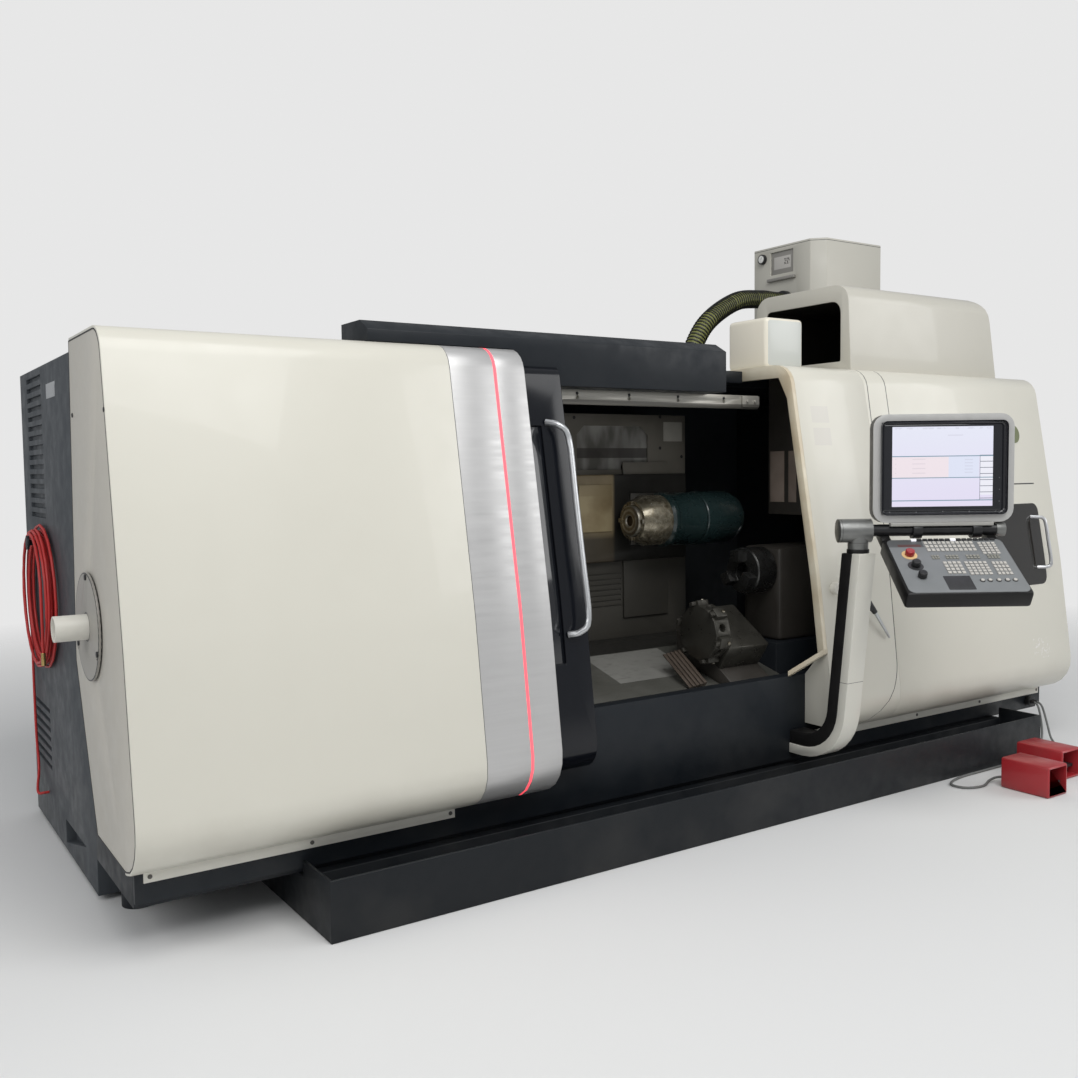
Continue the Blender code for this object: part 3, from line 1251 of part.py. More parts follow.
def make_panel():
    tee = rod("panel_tee", (TEE_LEFT, 0.0, 0.0), (TEE_RIGHT, 0.0, 0.0), TEE_RADIUS, "silver", sides=32)
    stem = rod("tee_stem", (0.0, 0.0, ARM_TOP_Z + SEAT - PANEL_Z), (0.0, 0.0, -0.01), STEM_RADIUS, sides=32)
    bar = rod("tee_bar", (TEE_RIGHT - LAP, 0.0, 0.0), (BAR_RIGHT + LAP, 0.0, 0.0), BAR_RADIUS, sides=BAR_SIDES)
    ring = rod("bar_ring", (BAR_RIGHT, 0.0, 0.0), (BAR_RIGHT + RING_WIDTH, 0.0, 0.0), RING_RADIUS, sides=24)
    for piece in (tee, stem, bar, ring):
        bpy.context.view_layer.update()
        set_on_panel(piece)
    join(tee, stem, bar, ring)

    outline = rounded_loop(
        [
            (SCREEN_LEFT, SCREEN_BOTTOM, SCREEN_RADIUS),
            (SCREEN_LEFT, SCREEN_TOP, SCREEN_RADIUS),
            (SCREEN_RIGHT, SCREEN_TOP, SCREEN_RADIUS),
            (SCREEN_RIGHT, SCREEN_BOTTOM, SCREEN_RADIUS),
        ]
    )
    housing = across("monitor", outline, -SCREEN_DEPTH / 2, SCREEN_DEPTH / 2, "silver")
    housing.rotation_euler = (math.pi / 2, 0.0, 0.0)
    housing.location = (0.0, 0.0, 0.0)
    window = box(
        "monitor_window",
        (SCREEN_LEFT + SCREEN_RIM, -SCREEN_DEPTH, SCREEN_BOTTOM + SCREEN_RIM),
        (SCREEN_RIGHT - SCREEN_RIM, -SCREEN_DEPTH / 2 + 0.006, SCREEN_TOP - SCREEN_RIM),
    )
    eye_radius = running_bore(BAR_RADIUS, BAR_SIDES)
    for piece in (housing, window):
        bpy.context.view_layer.update()
        set_on_panel(piece)
    cut(housing, window)
    for x in (SCREEN_LEFT + LUG_INSET, SCREEN_RIGHT - LUG_INSET):
        lug = box(
            "monitor_lug",
            (x, -BAR_RADIUS, 0.0),
            (x + LUG_WIDTH, BAR_RADIUS, SCREEN_BOTTOM + LAP),
        )
        ear = rod("monitor_ear", (x, 0.0, 0.0), (x + LUG_WIDTH, 0.0, 0.0), BAR_RADIUS + LUG_WALL, sides=BAR_SIDES)
        bpy.context.view_layer.update()
        join(housing, set_on_panel(lug), set_on_panel(ear))
    eye = rod(
        "lug_eye",
        (SCREEN_LEFT, 0.0, 0.0),
        (BAR_RIGHT, 0.0, 0.0),
        eye_radius,
        sides=BAR_SIDES,
    )
    bpy.context.view_layer.update()
    cut(housing, set_on_panel(eye))

    # The keyboard falls away from the bar towards the operator
    drop = Matrix.Rotation(KEYS_SLOPE, 4, "X")
    start = BAR_RADIUS + KEYS_GAP
    board = box(
        "keyboard",
        (KEYS_LEFT, -start - KEYS_LENGTH, KEYS_TOP - KEYS_THICK),
        (KEYS_RIGHT, -start, KEYS_TOP),
        "key_grey",
        round_by=0.014,
        segments=2,
    )
    pieces = [board]
    for x in (KEYS_LEFT, KEYS_RIGHT - 1.5 * LUG_WIDTH):
        low = (x, -start - LAP, KEYS_TOP - KEYS_THICK / 2)
        lug = box("keyboard_lug", low, (x + LUG_WIDTH, BAR_RADIUS + LUG_WALL, KEYS_TOP - SLIDE))
        pieces.append(lug)
    for piece in pieces:
        bpy.context.view_layer.update()
        piece.matrix_world = panel_frame() @ drop @ piece.matrix_world
    join(board, *pieces[1:])
    groove = rod("keyboard_groove", (TEE_LEFT, 0.0, 0.0), (BAR_RIGHT, 0.0, 0.0), eye_radius, sides=BAR_SIDES)
    bpy.context.view_layer.update()
    cut(board, set_on_panel(groove))

    controls = (
        ("emergency_stop", STOP_X, STOP_RUN, STOP_RADIUS, STOP_HEIGHT, "red"),
        ("feed_knob", STOP_X + KNOB_STAND, STOP_RUN + KNOB_RUN, KNOB_RADIUS, KNOB_HEIGHT, "black"),
        ("spindle_knob", STOP_X + 2 * KNOB_STAND, STOP_RUN + 2 * KNOB_RUN, KNOB_RADIUS, KNOB_HEIGHT, "black"),
    )
    for name, x, run, radius, height, finish in controls:
        y = -start - run
        deep, mouth = (x, y, KEYS_TOP - 2 * KNOB_NECK), (x, y, KEYS_TOP + LAP)
        socket = rod(name + "_socket", deep, mouth, radius / 2 + SEAT, sides=20)
        knob = turned(
            name,
            [
                (0.0, height),
                (radius * 0.85, height),
                (radius, height - KNOB_STAND),
                (radius, KNOB_STAND + SEAT),
                (radius / 2, KNOB_STAND + SEAT),
                (radius / 2, -KNOB_NECK),
                (0.0, -KNOB_NECK),
            ],
            finish,
            steps=20,
        )
        knob.location = (x, y, KEYS_TOP)
        for piece in (socket, knob):
            bpy.context.view_layer.update()
            piece.matrix_world = panel_frame() @ drop @ piece.matrix_world
        cut(board, socket)


def make_service_fittings():
    grip_x = COVER_RIGHT - SERVICE_GRIP_INSET

    def on_cover(x, z, stand):
        return (x, front_face(z) - stand, z)

    route = [
        on_cover(grip_x - SERVICE_GRIP_RETURN, SERVICE_GRIP_LOW, -SLIDE),
        on_cover(grip_x - LAP, SERVICE_GRIP_LOW + LAP / 2, GRIP_STAND - LAP),
        on_cover(grip_x, SERVICE_GRIP_LOW + 4 * LAP, GRIP_STAND),
        on_cover(grip_x, (SERVICE_GRIP_LOW + SERVICE_GRIP_HIGH) / 2, GRIP_STAND),
        on_cover(grip_x, SERVICE_GRIP_HIGH - 4 * LAP, GRIP_STAND),
        on_cover(grip_x - LAP, SERVICE_GRIP_HIGH - LAP / 2, GRIP_STAND - LAP),
        on_cover(grip_x - SERVICE_GRIP_RETURN, SERVICE_GRIP_HIGH, -SLIDE),
    ]
    bar = tube("service_grip_route", route, SERVICE_GRIP_RADIUS, "silver", count=20)
    grip = place(as_mesh(bar), "service_handle", "silver")
    cut(grip, across("grip_trim", sheet(SKIN + LAP, -SEAT), SERVICE_SEAM, COVER_RIGHT))


def make_pedals():
    for k, side in enumerate(("left", "right")):
        x0 = PEDAL_X + PEDAL_PITCH_X * k - PEDAL_WIDTH / 2
        y0 = PEDAL_FRONT + PEDAL_PITCH_Y * k
        low = (x0, y0, 0.0)
        high = (x0 + PEDAL_WIDTH, y0 + PEDAL_LENGTH, PEDAL_HEIGHT)
        guard = box("pedal_guard_" + side, low, high, "red")
        bevel(guard, 0.010, 2)
        toe = box(
            "toe_space",
            (x0 + PEDAL_WALL, y0 - LAP, PEDAL_WALL),
            (x0 + PEDAL_WIDTH - PEDAL_WALL, y0 + PEDAL_LENGTH - 2 * PEDAL_WALL, PEDAL_HEIGHT - PEDAL_WALL),
        )
        cut(guard, toe)
        hinge_y = y0 + PEDAL_LENGTH - 2 * PEDAL_WALL - 0.020
        plate = box(
            "pedal_" + side,
            (x0 + PEDAL_WALL + SLIDE, y0 + 0.030, 0.048),
            (x0 + PEDAL_WIDTH - PEDAL_WALL - SLIDE, hinge_y, 0.060),
            "cast_grey",
        )
        pin = rod(
            "pedal_pin",
            (x0 + PEDAL_WALL + SEAT, hinge_y, 0.054),
            (x0 + PEDAL_WIDTH - PEDAL_WALL - SEAT, hinge_y, 0.054),
            0.008,
            sides=16,
        )
        join(plate, pin)


def make_cables():
    gland_x, gland_z = 2.420, 0.214
    rod(
        "cable_gland",
        (gland_x, APRON_FRONT - SEAT, gland_z),
        (gland_x, APRON_FRONT - 0.030, gland_z),
        0.030,
        "steel",
        sides=20,
    )
    lie = CABLE_RADIUS + FLOOR_GAP
    gland_y = APRON_FRONT - 0.030 - SEAT
    heel = PEDAL_FRONT + PEDAL_LENGTH + SEAT
    tube(
        "pedal_cable_left",
        [
            (gland_x - 0.012, gland_y, gland_z),
            (gland_x - 0.012, gland_y - 0.010, gland_z),
            (gland_x - 0.012, gland_y - 0.020, gland_z),
            (gland_x - 0.016, gland_y - 0.048, gland_z - 0.020),
            (gland_x - 0.026, gland_y - 0.075, 0.110),
            (gland_x - 0.050, gland_y - 0.095, 0.030),
            (gland_x - 0.120, gland_y - 0.120, lie),
            (2.240, -1.035, lie),
            (2.120, -1.104, lie),
            (1.900, -1.096, lie),
            (1.600, -1.094, lie),
            (1.380, -1.100, lie),
            (1.250, -1.145, lie),
            (1.255, -1.225, lie),
            (1.350, -1.255, lie),
            (1.440, -1.225, 0.010),
            (PEDAL_X - 0.012, -1.232, 0.020),
            (PEDAL_X, heel + 0.036, 0.028),
            (PEDAL_X, heel + 0.018, 0.028),
            (PEDAL_X, heel, 0.028),
        ],
        CABLE_RADIUS,
        "cabinet_grey",
        count=66,
    )
    other_x, other_heel = PEDAL_X + PEDAL_PITCH_X, heel + PEDAL_PITCH_Y
    tube(
        "pedal_cable_right",
        [
            (gland_x + 0.012, gland_y, gland_z),
            (gland_x + 0.012, gland_y - 0.010, gland_z),
            (gland_x + 0.012, gland_y - 0.020, gland_z),
            (gland_x + 0.014, gland_y - 0.052, gland_z - 0.020),
            (gland_x + 0.014, gland_y - 0.082, 0.110),
            (gland_x + 0.006, gland_y - 0.112, 0.030),
            (gland_x - 0.040, gland_y - 0.165, lie),
            (2.280, -1.060, lie),
            (2.130, -1.145, lie),
            (1.980, -1.160, lie),
            (1.880, -1.132, 0.010),
            (other_x + 0.010, -1.116, 0.020),
            (other_x, other_heel + 0.030, 0.028),
            (other_x, other_heel + 0.015, 0.028),
            (other_x, other_heel, 0.028),
        ],
        CABLE_RADIUS,
        "cabinet_grey",
        count=50,
    )


def make_air_hose():
    face = BASE_LEFT - SEAT
    along_x(
        turned(
            "air_hose_coil",
            [
                (COIL_RADIUS, COIL_THICK * 2),
                (COIL_RADIUS + COIL_THICK, COIL_THICK * 1.4),
                (COIL_RADIUS + COIL_THICK, COIL_THICK * 0.6),
                (COIL_RADIUS, 0.0),
                (COIL_RADIUS - COIL_THICK, COIL_THICK * 0.6),
                (COIL_RADIUS - COIL_THICK, COIL_THICK * 1.4),
                (COIL_RADIUS, COIL_THICK * 2),
            ],
            "red",
            steps=COIL_STEPS,
        ),
        face - COIL_THICK * 2,
        COIL_Y,
        COIL_Z,
    )
    # The coil's inner face is flat between its steps, so the hook hangs lower by that much
    hook_z = COIL_Z + COIL_RADIUS - COIL_THICK - (HOOK_RADIUS + SEAT) / math.cos(math.pi / COIL_STEPS)
    front = face - COIL_THICK * 2 - SLIDE
    hook = rod("hose_hook", (face, COIL_Y, hook_z), (front - LAP, COIL_Y, hook_z), HOOK_RADIUS, "anthracite", sides=16)
    stop = rod("hook_stop", (front, COIL_Y, hook_z), (front - LAP, COIL_Y, hook_z), 2.5 * HOOK_RADIUS, sides=20)
    join(hook, stop)
    x = face - AIR_HOSE_RADIUS - 0.012
    end_z = 0.170
    side_y = COIL_Y + COIL_RADIUS + COIL_THICK + AIR_HOSE_RADIUS + SEAT
    tube(
        "air_hose_drop",
        [
            (x, side_y, COIL_Z),
            (x, side_y, COIL_Z - 0.12),
            (x, side_y + 0.010, COIL_Z - 0.40),
            (x, side_y + 0.004, COIL_Z - 0.65),
            (x, side_y - 0.030, COIL_Z - 0.80),
            (x - 0.022, side_y - 0.120, end_z + 0.020),
            (x - 0.022, side_y - 0.150, end_z),
            (face - 0.024, side_y - 0.160, end_z),
            (face - 0.012, side_y - 0.160, end_z),
            (face - SEAT, side_y - 0.160, end_z),
        ],
        AIR_HOSE_RADIUS,
        "red",
        count=48,
    )


make_base()
make_covers()
make_cabinet()
make_housing()
make_roof_units()
make_spindles()
make_milling_unit()
make_turret()
make_door()
make_arm()
make_panel()
make_service_fittings()
make_pedals()
make_cables()
make_air_hose()

for shown in LATHE.objects:
    if shown.type == "MESH":
        shown.data.shade_smooth()
        shown.data.set_sharp_from_angle(angle=math.radians(35.0))
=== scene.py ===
"""Looks of the enclosed turn-mill lathe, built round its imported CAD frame."""

import json
import math

import bpy
from mathutils import Matrix, Vector


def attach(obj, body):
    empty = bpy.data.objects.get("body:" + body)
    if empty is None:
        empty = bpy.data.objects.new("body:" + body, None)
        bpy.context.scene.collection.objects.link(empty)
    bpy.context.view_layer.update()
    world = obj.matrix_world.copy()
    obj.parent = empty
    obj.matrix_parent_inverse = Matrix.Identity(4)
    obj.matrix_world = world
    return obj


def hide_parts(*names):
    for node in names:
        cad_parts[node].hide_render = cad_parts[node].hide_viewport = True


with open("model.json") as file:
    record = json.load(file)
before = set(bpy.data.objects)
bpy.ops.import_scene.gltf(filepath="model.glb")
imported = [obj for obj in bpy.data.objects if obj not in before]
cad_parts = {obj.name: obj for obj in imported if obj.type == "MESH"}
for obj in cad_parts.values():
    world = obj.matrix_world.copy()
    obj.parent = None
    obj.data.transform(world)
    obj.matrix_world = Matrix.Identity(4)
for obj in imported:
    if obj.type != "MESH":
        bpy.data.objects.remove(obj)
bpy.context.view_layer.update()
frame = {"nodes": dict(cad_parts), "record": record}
nodes = frame["nodes"]

# Camera
# It stands at the operator's left, at head height. Its place, turn and focal length were solved
# from the machine's straight edges, the focal length in pixels of the picture's width.
camera_place = (-3.336, -4.418, 1.584)
camera_right = Vector((0.83326, -0.55273, -0.01264))
camera_up = Vector((0.04621, 0.04684, 0.99783))
focal_pixels, picture_pixels = 1085, 1078
camera_turn = Matrix((camera_right, camera_up, camera_right.cross(camera_up))).transposed()
bpy.ops.object.camera_add(location=camera_place, rotation=camera_turn.to_euler())
camera = bpy.context.object
camera.data.sensor_width = 36.0
camera.data.lens = camera.data.sensor_width * focal_pixels / picture_pixels
bpy.context.scene.camera = camera
bpy.context.scene.view_settings.view_transform = "Standard"


# Foot switch cables
# Two grey cables in an extruded rubber sheath. Each leaves the machine by the gland in its base,
# with a tapered relief, and lies on the floor up to the heel of its foot switch.
class Socket:
    """A shader value that Python's own operators work on."""

    def __init__(self, finish, link):
        self.finish = finish
        self.link = link

    def math(self, operation, *others):
        return self.finish.node("Math", {"operation": operation}, self, *others)

    def __add__(self, other):
        return self.math("ADD", other)

    __radd__ = __add__

    def __sub__(self, other):
        return self.math("SUBTRACT", other)

    def __rsub__(self, other):
        return self.finish.node("Math", {"operation": "SUBTRACT"}, other, self)

    def __mul__(self, other):
        return self.math("MULTIPLY", other)

    __rmul__ = __mul__

    def __truediv__(self, other):
        return self.math("DIVIDE", other)

    def __mod__(self, other):
        return self.math("FLOORED_MODULO", other)

    def __lt__(self, other):
        return self.math("LESS_THAN", other)

    def __gt__(self, other):
        return self.math("GREATER_THAN", other)

    def __abs__(self):
        return self.math("ABSOLUTE")

    def most(self, other):
        return self.math("MAXIMUM", other)

    def between(self, low, high):
        return (self > low) * (self < high)

    def near(self, middle, half):
        return abs(self - middle) < half

    def ramp(self, start, end, low=0.0, high=1.0):
        """This value's run from start to end, as low to high and no further."""
        return self.finish.node("MapRange", {}, self, start, end, low, high)


class Finish:
    """A material whose one method adds any node, and sets or links its sockets."""

    def __init__(self, name, colour, roughness, metallic=0.0, coat=0.0):
        self.material = bpy.data.materials.new(name)
        self.material.use_nodes = True
        self.tree = self.material.node_tree
        self.shader = self.tree.nodes["Principled BSDF"]
        self.colour = colour
        self.feed("Base Color", colour)
        self.feed("Roughness", roughness)
        self.feed("Metallic", metallic)
        self.feed("Coat Weight", coat)

    def node(self, kind, settings, *values, out=0):
        made = self.tree.nodes.new("ShaderNode" + kind)
        for name, value in settings.items():
            setattr(made, name, value)
        for socket, value in zip([s for s in made.inputs if s.enabled], values):
            self.join(socket, value)
        return Socket(self, [s for s in made.outputs if s.enabled][out])

    def join(self, socket, value):
        if isinstance(value, Socket):
            self.tree.links.new(value.link, socket)
        elif value is not None:
            if socket.type == "RGBA" and len(value) == 3:
                value = (*value, 1.0)
            socket.default_value = value

    def feed(self, name, value):
        self.join(self.shader.inputs[name], value)
        return self

    def xyz(self):
        place = self.node("TexCoord", {}, out=3)
        return [self.node("SeparateXYZ", {}, place, out=k) for k in range(3)]

    def seen_from(self, matrix):
        """The place, measured along, off and up another frame."""
        x, y, z = self.xyz()
        rows = list(matrix.inverted())[:3]
        return [x * row[0] + y * row[1] + z * row[2] + row[3] for row in rows]

    def noise(self, scale, detail=3.0, stretch=(1.0, 1.0, 1.0)):
        place = self.node("Mapping", {}, self.node("TexCoord", {}, out=3), None, None, stretch)
        return self.node("TexNoise", {}, place, scale, detail)

    def mix(self, mask, first, second):
        return self.node("Mix", {"data_type": "RGBA"}, mask, first, second)

    def shade(self, amount, by):
        """The finish's own colour, lightened and darkened by a share of a value from 0 to 1."""
        low = tuple(c * (1 - amount) for c in self.colour)
        high = tuple(min(1.0, c * (1 + amount)) for c in self.colour)
        return self.mix(by, low, high)

    def vary(self, low, high, scale, detail=3.0, stretch=(1.0, 1.0, 1.0)):
        """Roughness that wanders between two values."""
        return self.feed("Roughness", self.noise(scale, detail, stretch).ramp(0.3, 0.7, low, high))

    def mottle(self, amount, *noise):
        """The finish's own colour, wandering by a share of it."""
        return self.feed("Base Color", self.shade(amount, self.noise(*noise)))

    def bump(self, height, strength, distance):
        return self.feed("Normal", self.node("Bump", {}, strength, distance, None, height))


def deselect():
    bpy.ops.object.select_all(action="DESELECT")


def pick(piece):
    """Selects one piece alone."""
    deselect()
    piece.select_set(True)
    bpy.context.view_layer.objects.active = piece


def settle(piece, body, finish, smooth=35.0):
    """Puts a piece's place into its mesh, gives it its finish and hangs it on its body."""
    pick(piece)
    bpy.ops.object.transform_apply(location=True, rotation=True, scale=True)
    bpy.ops.object.shade_smooth_by_angle(angle=math.radians(smooth))
    piece.data.materials.clear()
    piece.data.materials.append(finish.material)
    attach(piece, body)


def round_edges(piece, width, segments=2, angle=30.0):
    """Breaks a piece's edges that turn by more than an angle."""
    pick(piece)
    bevel = piece.modifiers.new("edges", "BEVEL")
    bevel.width = width
    bevel.segments = segments
    bevel.limit_method = "ANGLE"
    bevel.angle_limit = math.radians(angle)
    bpy.ops.object.modifier_apply(modifier="edges")
    return piece


def round_bar(name, start, end, radius, edge=0.001, sides=32, tip=None):
    """A turned bar from start to end with its rims broken; tip is its radius at the end."""
    start, end = Vector(start), Vector(end)
    run = end - start
    deselect()
    bpy.ops.mesh.primitive_cone_add(
        vertices=sides,
        radius1=radius,
        radius2=radius if tip is None else tip,
        depth=run.length,
        location=(start + end) / 2,
        rotation=run.to_track_quat("Z", "Y").to_euler(),
    )
    piece = bpy.context.object
    piece.name = name
    bpy.ops.object.transform_apply(location=True, rotation=True, scale=True)
    return round_edges(piece, edge, 2, 50.0)


def smooth_route(points, count, lowest=0.0065):
    """Points of one smooth curve through the given ones, none of them under the lowest height."""
    path = [Vector(p) for p in points]
    path = [2 * path[0] - path[1]] + path + [2 * path[-1] - path[-2]]
    spans = len(path) - 3
    made = []
    for i in range(count):
        where = i / (count - 1) * spans
        k = min(int(where), spans - 1)
        t = where - k
        a, b, c, d = path[k : k + 4]
        square, cube = 2 * a - 5 * b + 4 * c - d, 3 * b - a - 3 * c + d
        point = 0.5 * (2 * b + (c - a) * t + square * t * t + cube * t**3)
        made.append((point.x, point.y, max(point.z, lowest)))
    return made


def lay_cord(name, path, radius, finish):
    """A round cord of one open spline along a path of points."""
    data = bpy.data.curves.new(name, "CURVE")
    data.dimensions = "3D"
    data.bevel_depth = radius
    data.bevel_resolution = 3
    data.use_fill_caps = True
    spline = data.splines.new("POLY")
    spline.points.add(len(path) - 1)
    for point, place in zip(spline.points, path):
        point.co = (*place, 1.0)
    cord = bpy.data.objects.new(name, data)
    bpy.context.scene.collection.objects.link(cord)
    cord.data.materials.append(finish.material)
    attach(cord, "machine")
    return cord


sheath = Finish("cable_sheath", (0.16, 0.165, 0.16), 0.5)
sheath.mottle(0.2, 18.0, 4.0)
sheath.vary(0.42, 0.62, 40.0)
relief_black = Finish("relief_black", (0.018, 0.018, 0.019), 0.55)
relief_black.bump(relief_black.noise(400.0), 0.1, 0.0003)
cable_radius = 0.006
lie = cable_radius + 0.0005
gland_x, gland_y, gland_z = 2.420, -0.8383, 0.214
left_heel = (1.500, -1.2997, 0.028)
left_route = [
    (gland_x - 0.012, gland_y, gland_z),
    (gland_x - 0.012, gland_y - 0.010, gland_z),
    (gland_x - 0.012, gland_y - 0.020, gland_z),
    (gland_x - 0.016, gland_y - 0.048, gland_z - 0.020),
    (gland_x - 0.026, gland_y - 0.075, 0.110),
    (gland_x - 0.050, gland_y - 0.095, 0.030),
    (gland_x - 0.120, gland_y - 0.120, lie),
    (2.240, -1.035, lie),
    (2.120, -1.104, lie),
    (1.900, -1.096, lie),
    (1.600, -1.094, lie),
    (1.380, -1.100, lie),
    (1.250, -1.145, lie),
    (1.255, -1.225, lie),
    (1.350, -1.255, lie),
    (1.440, -1.225, 0.010),
    (1.488, -1.232, 0.020),
    (left_heel[0], left_heel[1] + 0.036, left_heel[2]),
    (left_heel[0], left_heel[1] + 0.018, left_heel[2]),
    left_heel,
]
right_heel = (1.830, -1.1697, 0.028)
right_route = [
    (gland_x + 0.012, gland_y, gland_z),
    (gland_x + 0.012, gland_y - 0.010, gland_z),
    (gland_x + 0.012, gland_y - 0.020, gland_z),
    (gland_x + 0.014, gland_y - 0.052, gland_z - 0.020),
    (gland_x + 0.014, gland_y - 0.082, 0.110),
    (gland_x + 0.006, gland_y - 0.112, 0.030),
    (gland_x - 0.040, gland_y - 0.165, lie),
    (2.280, -1.060, lie),
    (2.130, -1.145, lie),
    (1.980, -1.160, lie),
    (1.880, -1.132, 0.010),
    (right_heel[0] + 0.010, -1.116, 0.020),
    (right_heel[0], right_heel[1] + 0.030, right_heel[2]),
    (right_heel[0], right_heel[1] + 0.015, right_heel[2]),
    right_heel,
]
relief_run = Vector((0.0, 0.024, 0.0))
relief_size = {"radius": 0.0105, "edge": 0.001, "sides": 20, "tip": 0.0072}
for side, points, count in (("left", left_route, 66), ("right", right_route, 50)):
    path = smooth_route(points, count)
    node = "pedal_cable_" + side
    cable = lay_cord(node + "_shown", path, cable_radius, sheath)
    start, heel = Vector(path[0]), Vector(path[-1])
    collar = round_bar("cable_relief_" + side, start, start - relief_run, **relief_size)
    boot = round_bar("heel_relief_" + side, heel, heel + relief_run, **relief_size)
    for piece in (collar, boot):
        settle(piece, "machine", relief_black)
    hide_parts(node)

# Air hose
# Red extruded air hose that comes out of the cabinet's foot and hangs in loops on a hook beside it,
# with a brass coupling pressed on its free end.
hose_red = Finish("hose_red", (0.50, 0.030, 0.028), 0.42)
hose_red.mottle(0.2, 7.0, 4.0)
hose_red.vary(0.34, 0.56, 30.0)
hose_radius = 0.006
hose_x, hook_y, coil_z = -2.5583, 0.620, 1.060
rise = [
    (-2.5403, 0.7763, 0.170),
    (-2.5523, 0.7763, 0.170),
    (-2.5643, 0.7763, 0.170),
    (hose_x - 0.022, 0.7863, 0.170),
    (hose_x - 0.022, 0.8163, 0.190),
    (hose_x, 0.9063, coil_z - 0.80),
    (hose_x, 0.9403, coil_z - 0.65),
    (hose_x, 0.9463, coil_z - 0.40),
    (hose_x, 0.9363, coil_z - 0.12),
    (hose_x, 0.9363, coil_z),
]
layers = (-2.5523, -2.5703, -2.5883, -2.6063)
inner, middle, outer = 0.257, 0.275, 0.293
turns = [
    (hose_x, 0.3163),
    (layers[0], outer),
    (layers[0], middle),
    (layers[0], inner),
    (layers[1], inner),
    (layers[1], middle),
    (layers[1], outer),
    (layers[2], outer),
    (layers[2], middle),
]


def on_coil(x, radius, angle):
    """A point of the coil, which hangs round the hook."""
    return (x, hook_y + radius * math.cos(angle), coil_z + radius * math.sin(angle))


hose_path = smooth_route(rise, 40)
steps = 20
for (x0, r0), (x1, r1) in zip(turns, turns[1:]):
    for k in range(1, steps + 1):
        share = k / steps
        x, radius = x0 + (x1 - x0) * share, r0 + (r1 - r0) * share
        hose_path.append(on_coil(x, radius, 2 * math.pi * share))
for k in range(1, steps // 2 + 1):
    share = 2 * k / steps
    x = layers[2] + (layers[3] - layers[2]) * share
    hose_path.append(on_coil(x, middle, math.pi * share))
tail_y = hook_y - middle
hose_path += [(layers[3], tail_y, coil_z - 0.03 * k) for k in range(1, 8)]
hose = lay_cord("air_hose_shown", hose_path, hose_radius, hose_red)
brass = Finish("brass", (0.55, 0.40, 0.16), 0.3, 1.0)
brass.vary(0.22, 0.4, 60.0)
tail_z = hose_path[-1][2]
coupling_top = (layers[3], tail_y, tail_z + 0.012)
coupling_foot = (layers[3], tail_y, tail_z - 0.040)
coupling = round_bar("hose_coupling", coupling_top, coupling_foot, 0.009)
settle(coupling, "machine", brass)
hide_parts("air_hose_coil", "air_hose_drop")

# Floor and light
# A plain pale floor that fades into the plain pale background, and three soft studio lamps: a large
# one overhead and one at each side.
fade_start, fade_end = 3.6, 8.5
deselect()
bpy.ops.mesh.primitive_plane_add(size=60.0, location=(0.0, 0.0, -0.0005))
floor = bpy.context.object
floor.name = "floor"
floor_grey = Finish("floor_grey", (0.76, 0.76, 0.755), 0.9)
x, y = floor_grey.xyz()[:2]
away = (x * x + y * y).math("SQRT")
floor_grey.feed("Alpha", away.ramp(fade_start, fade_end, 1.0, 0.0))
floor.data.materials.append(floor_grey.material)
world = bpy.data.worlds.new("studio")
bpy.context.scene.world = world
world.use_nodes = True
sky = world.node_tree
backdrop = sky.nodes["Background"]
backdrop.inputs["Color"].default_value = (0.80, 0.80, 0.80, 1.0)
backdrop.inputs["Strength"].default_value = 1.0
ambient = sky.nodes.new("ShaderNodeBackground")
ambient.inputs["Color"].default_value = (0.84, 0.86, 0.88, 1.0)
ambient.inputs["Strength"].default_value = 0.46
rays = sky.nodes.new("ShaderNodeLightPath")
seen = sky.nodes.new("ShaderNodeMath")
seen.operation = "MAXIMUM"
sky.links.new(rays.outputs["Is Camera Ray"], seen.inputs[0])
sky.links.new(rays.outputs["Is Transmission Ray"], seen.inputs[1])
both = sky.nodes.new("ShaderNodeMixShader")
sky.links.new(seen.outputs[0], both.inputs[0])
sky.links.new(ambient.outputs[0], both.inputs[1])
sky.links.new(backdrop.outputs[0], both.inputs[2])
sky.links.new(both.outputs[0], sky.nodes["World Output"].inputs["Surface"])
for place, aim, size, power in (
    ((-1.5, -4.8, 6.5), (0.0, -0.3, 1.0), 5.0, 300.0),
    ((-7.0, -1.5, 4.0), (-2.0, 0.0, 1.0), 3.5, 90.0),
    ((5.5, -5.0, 4.0), (1.0, -0.5, 1.2), 3.5, 110.0),
):
    bpy.ops.object.light_add(type="AREA", location=place)
    lamp = bpy.context.object
    lamp.data.size = size
    lamp.data.energy = power
    lamp.rotation_euler = (Vector(aim) - Vector(place)).to_track_quat("-Z", "Y").to_euler()

# Covers
# Cream powder-coated sheet steel, rolled round its corners and hung on the frame. Dark rubber
# shows in the joints between two sheets.
BODY_OF = {n: b for b, members in frame["record"]["behaviour"]["bodies"].items() for n in members}


def copied(piece, name, matrix=Matrix()):
    """A copy of a piece with its own mesh, moved by a matrix, and without the frame's marks."""
    made = piece.copy()
    made.data = piece.data.copy()
    made.name = name
    bpy.context.scene.collection.objects.link(made)
    made.parent = None
    for key in [k for k in made.keys() if k.startswith("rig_")]:
        del made[key]
    made.data.transform(matrix)
    return made


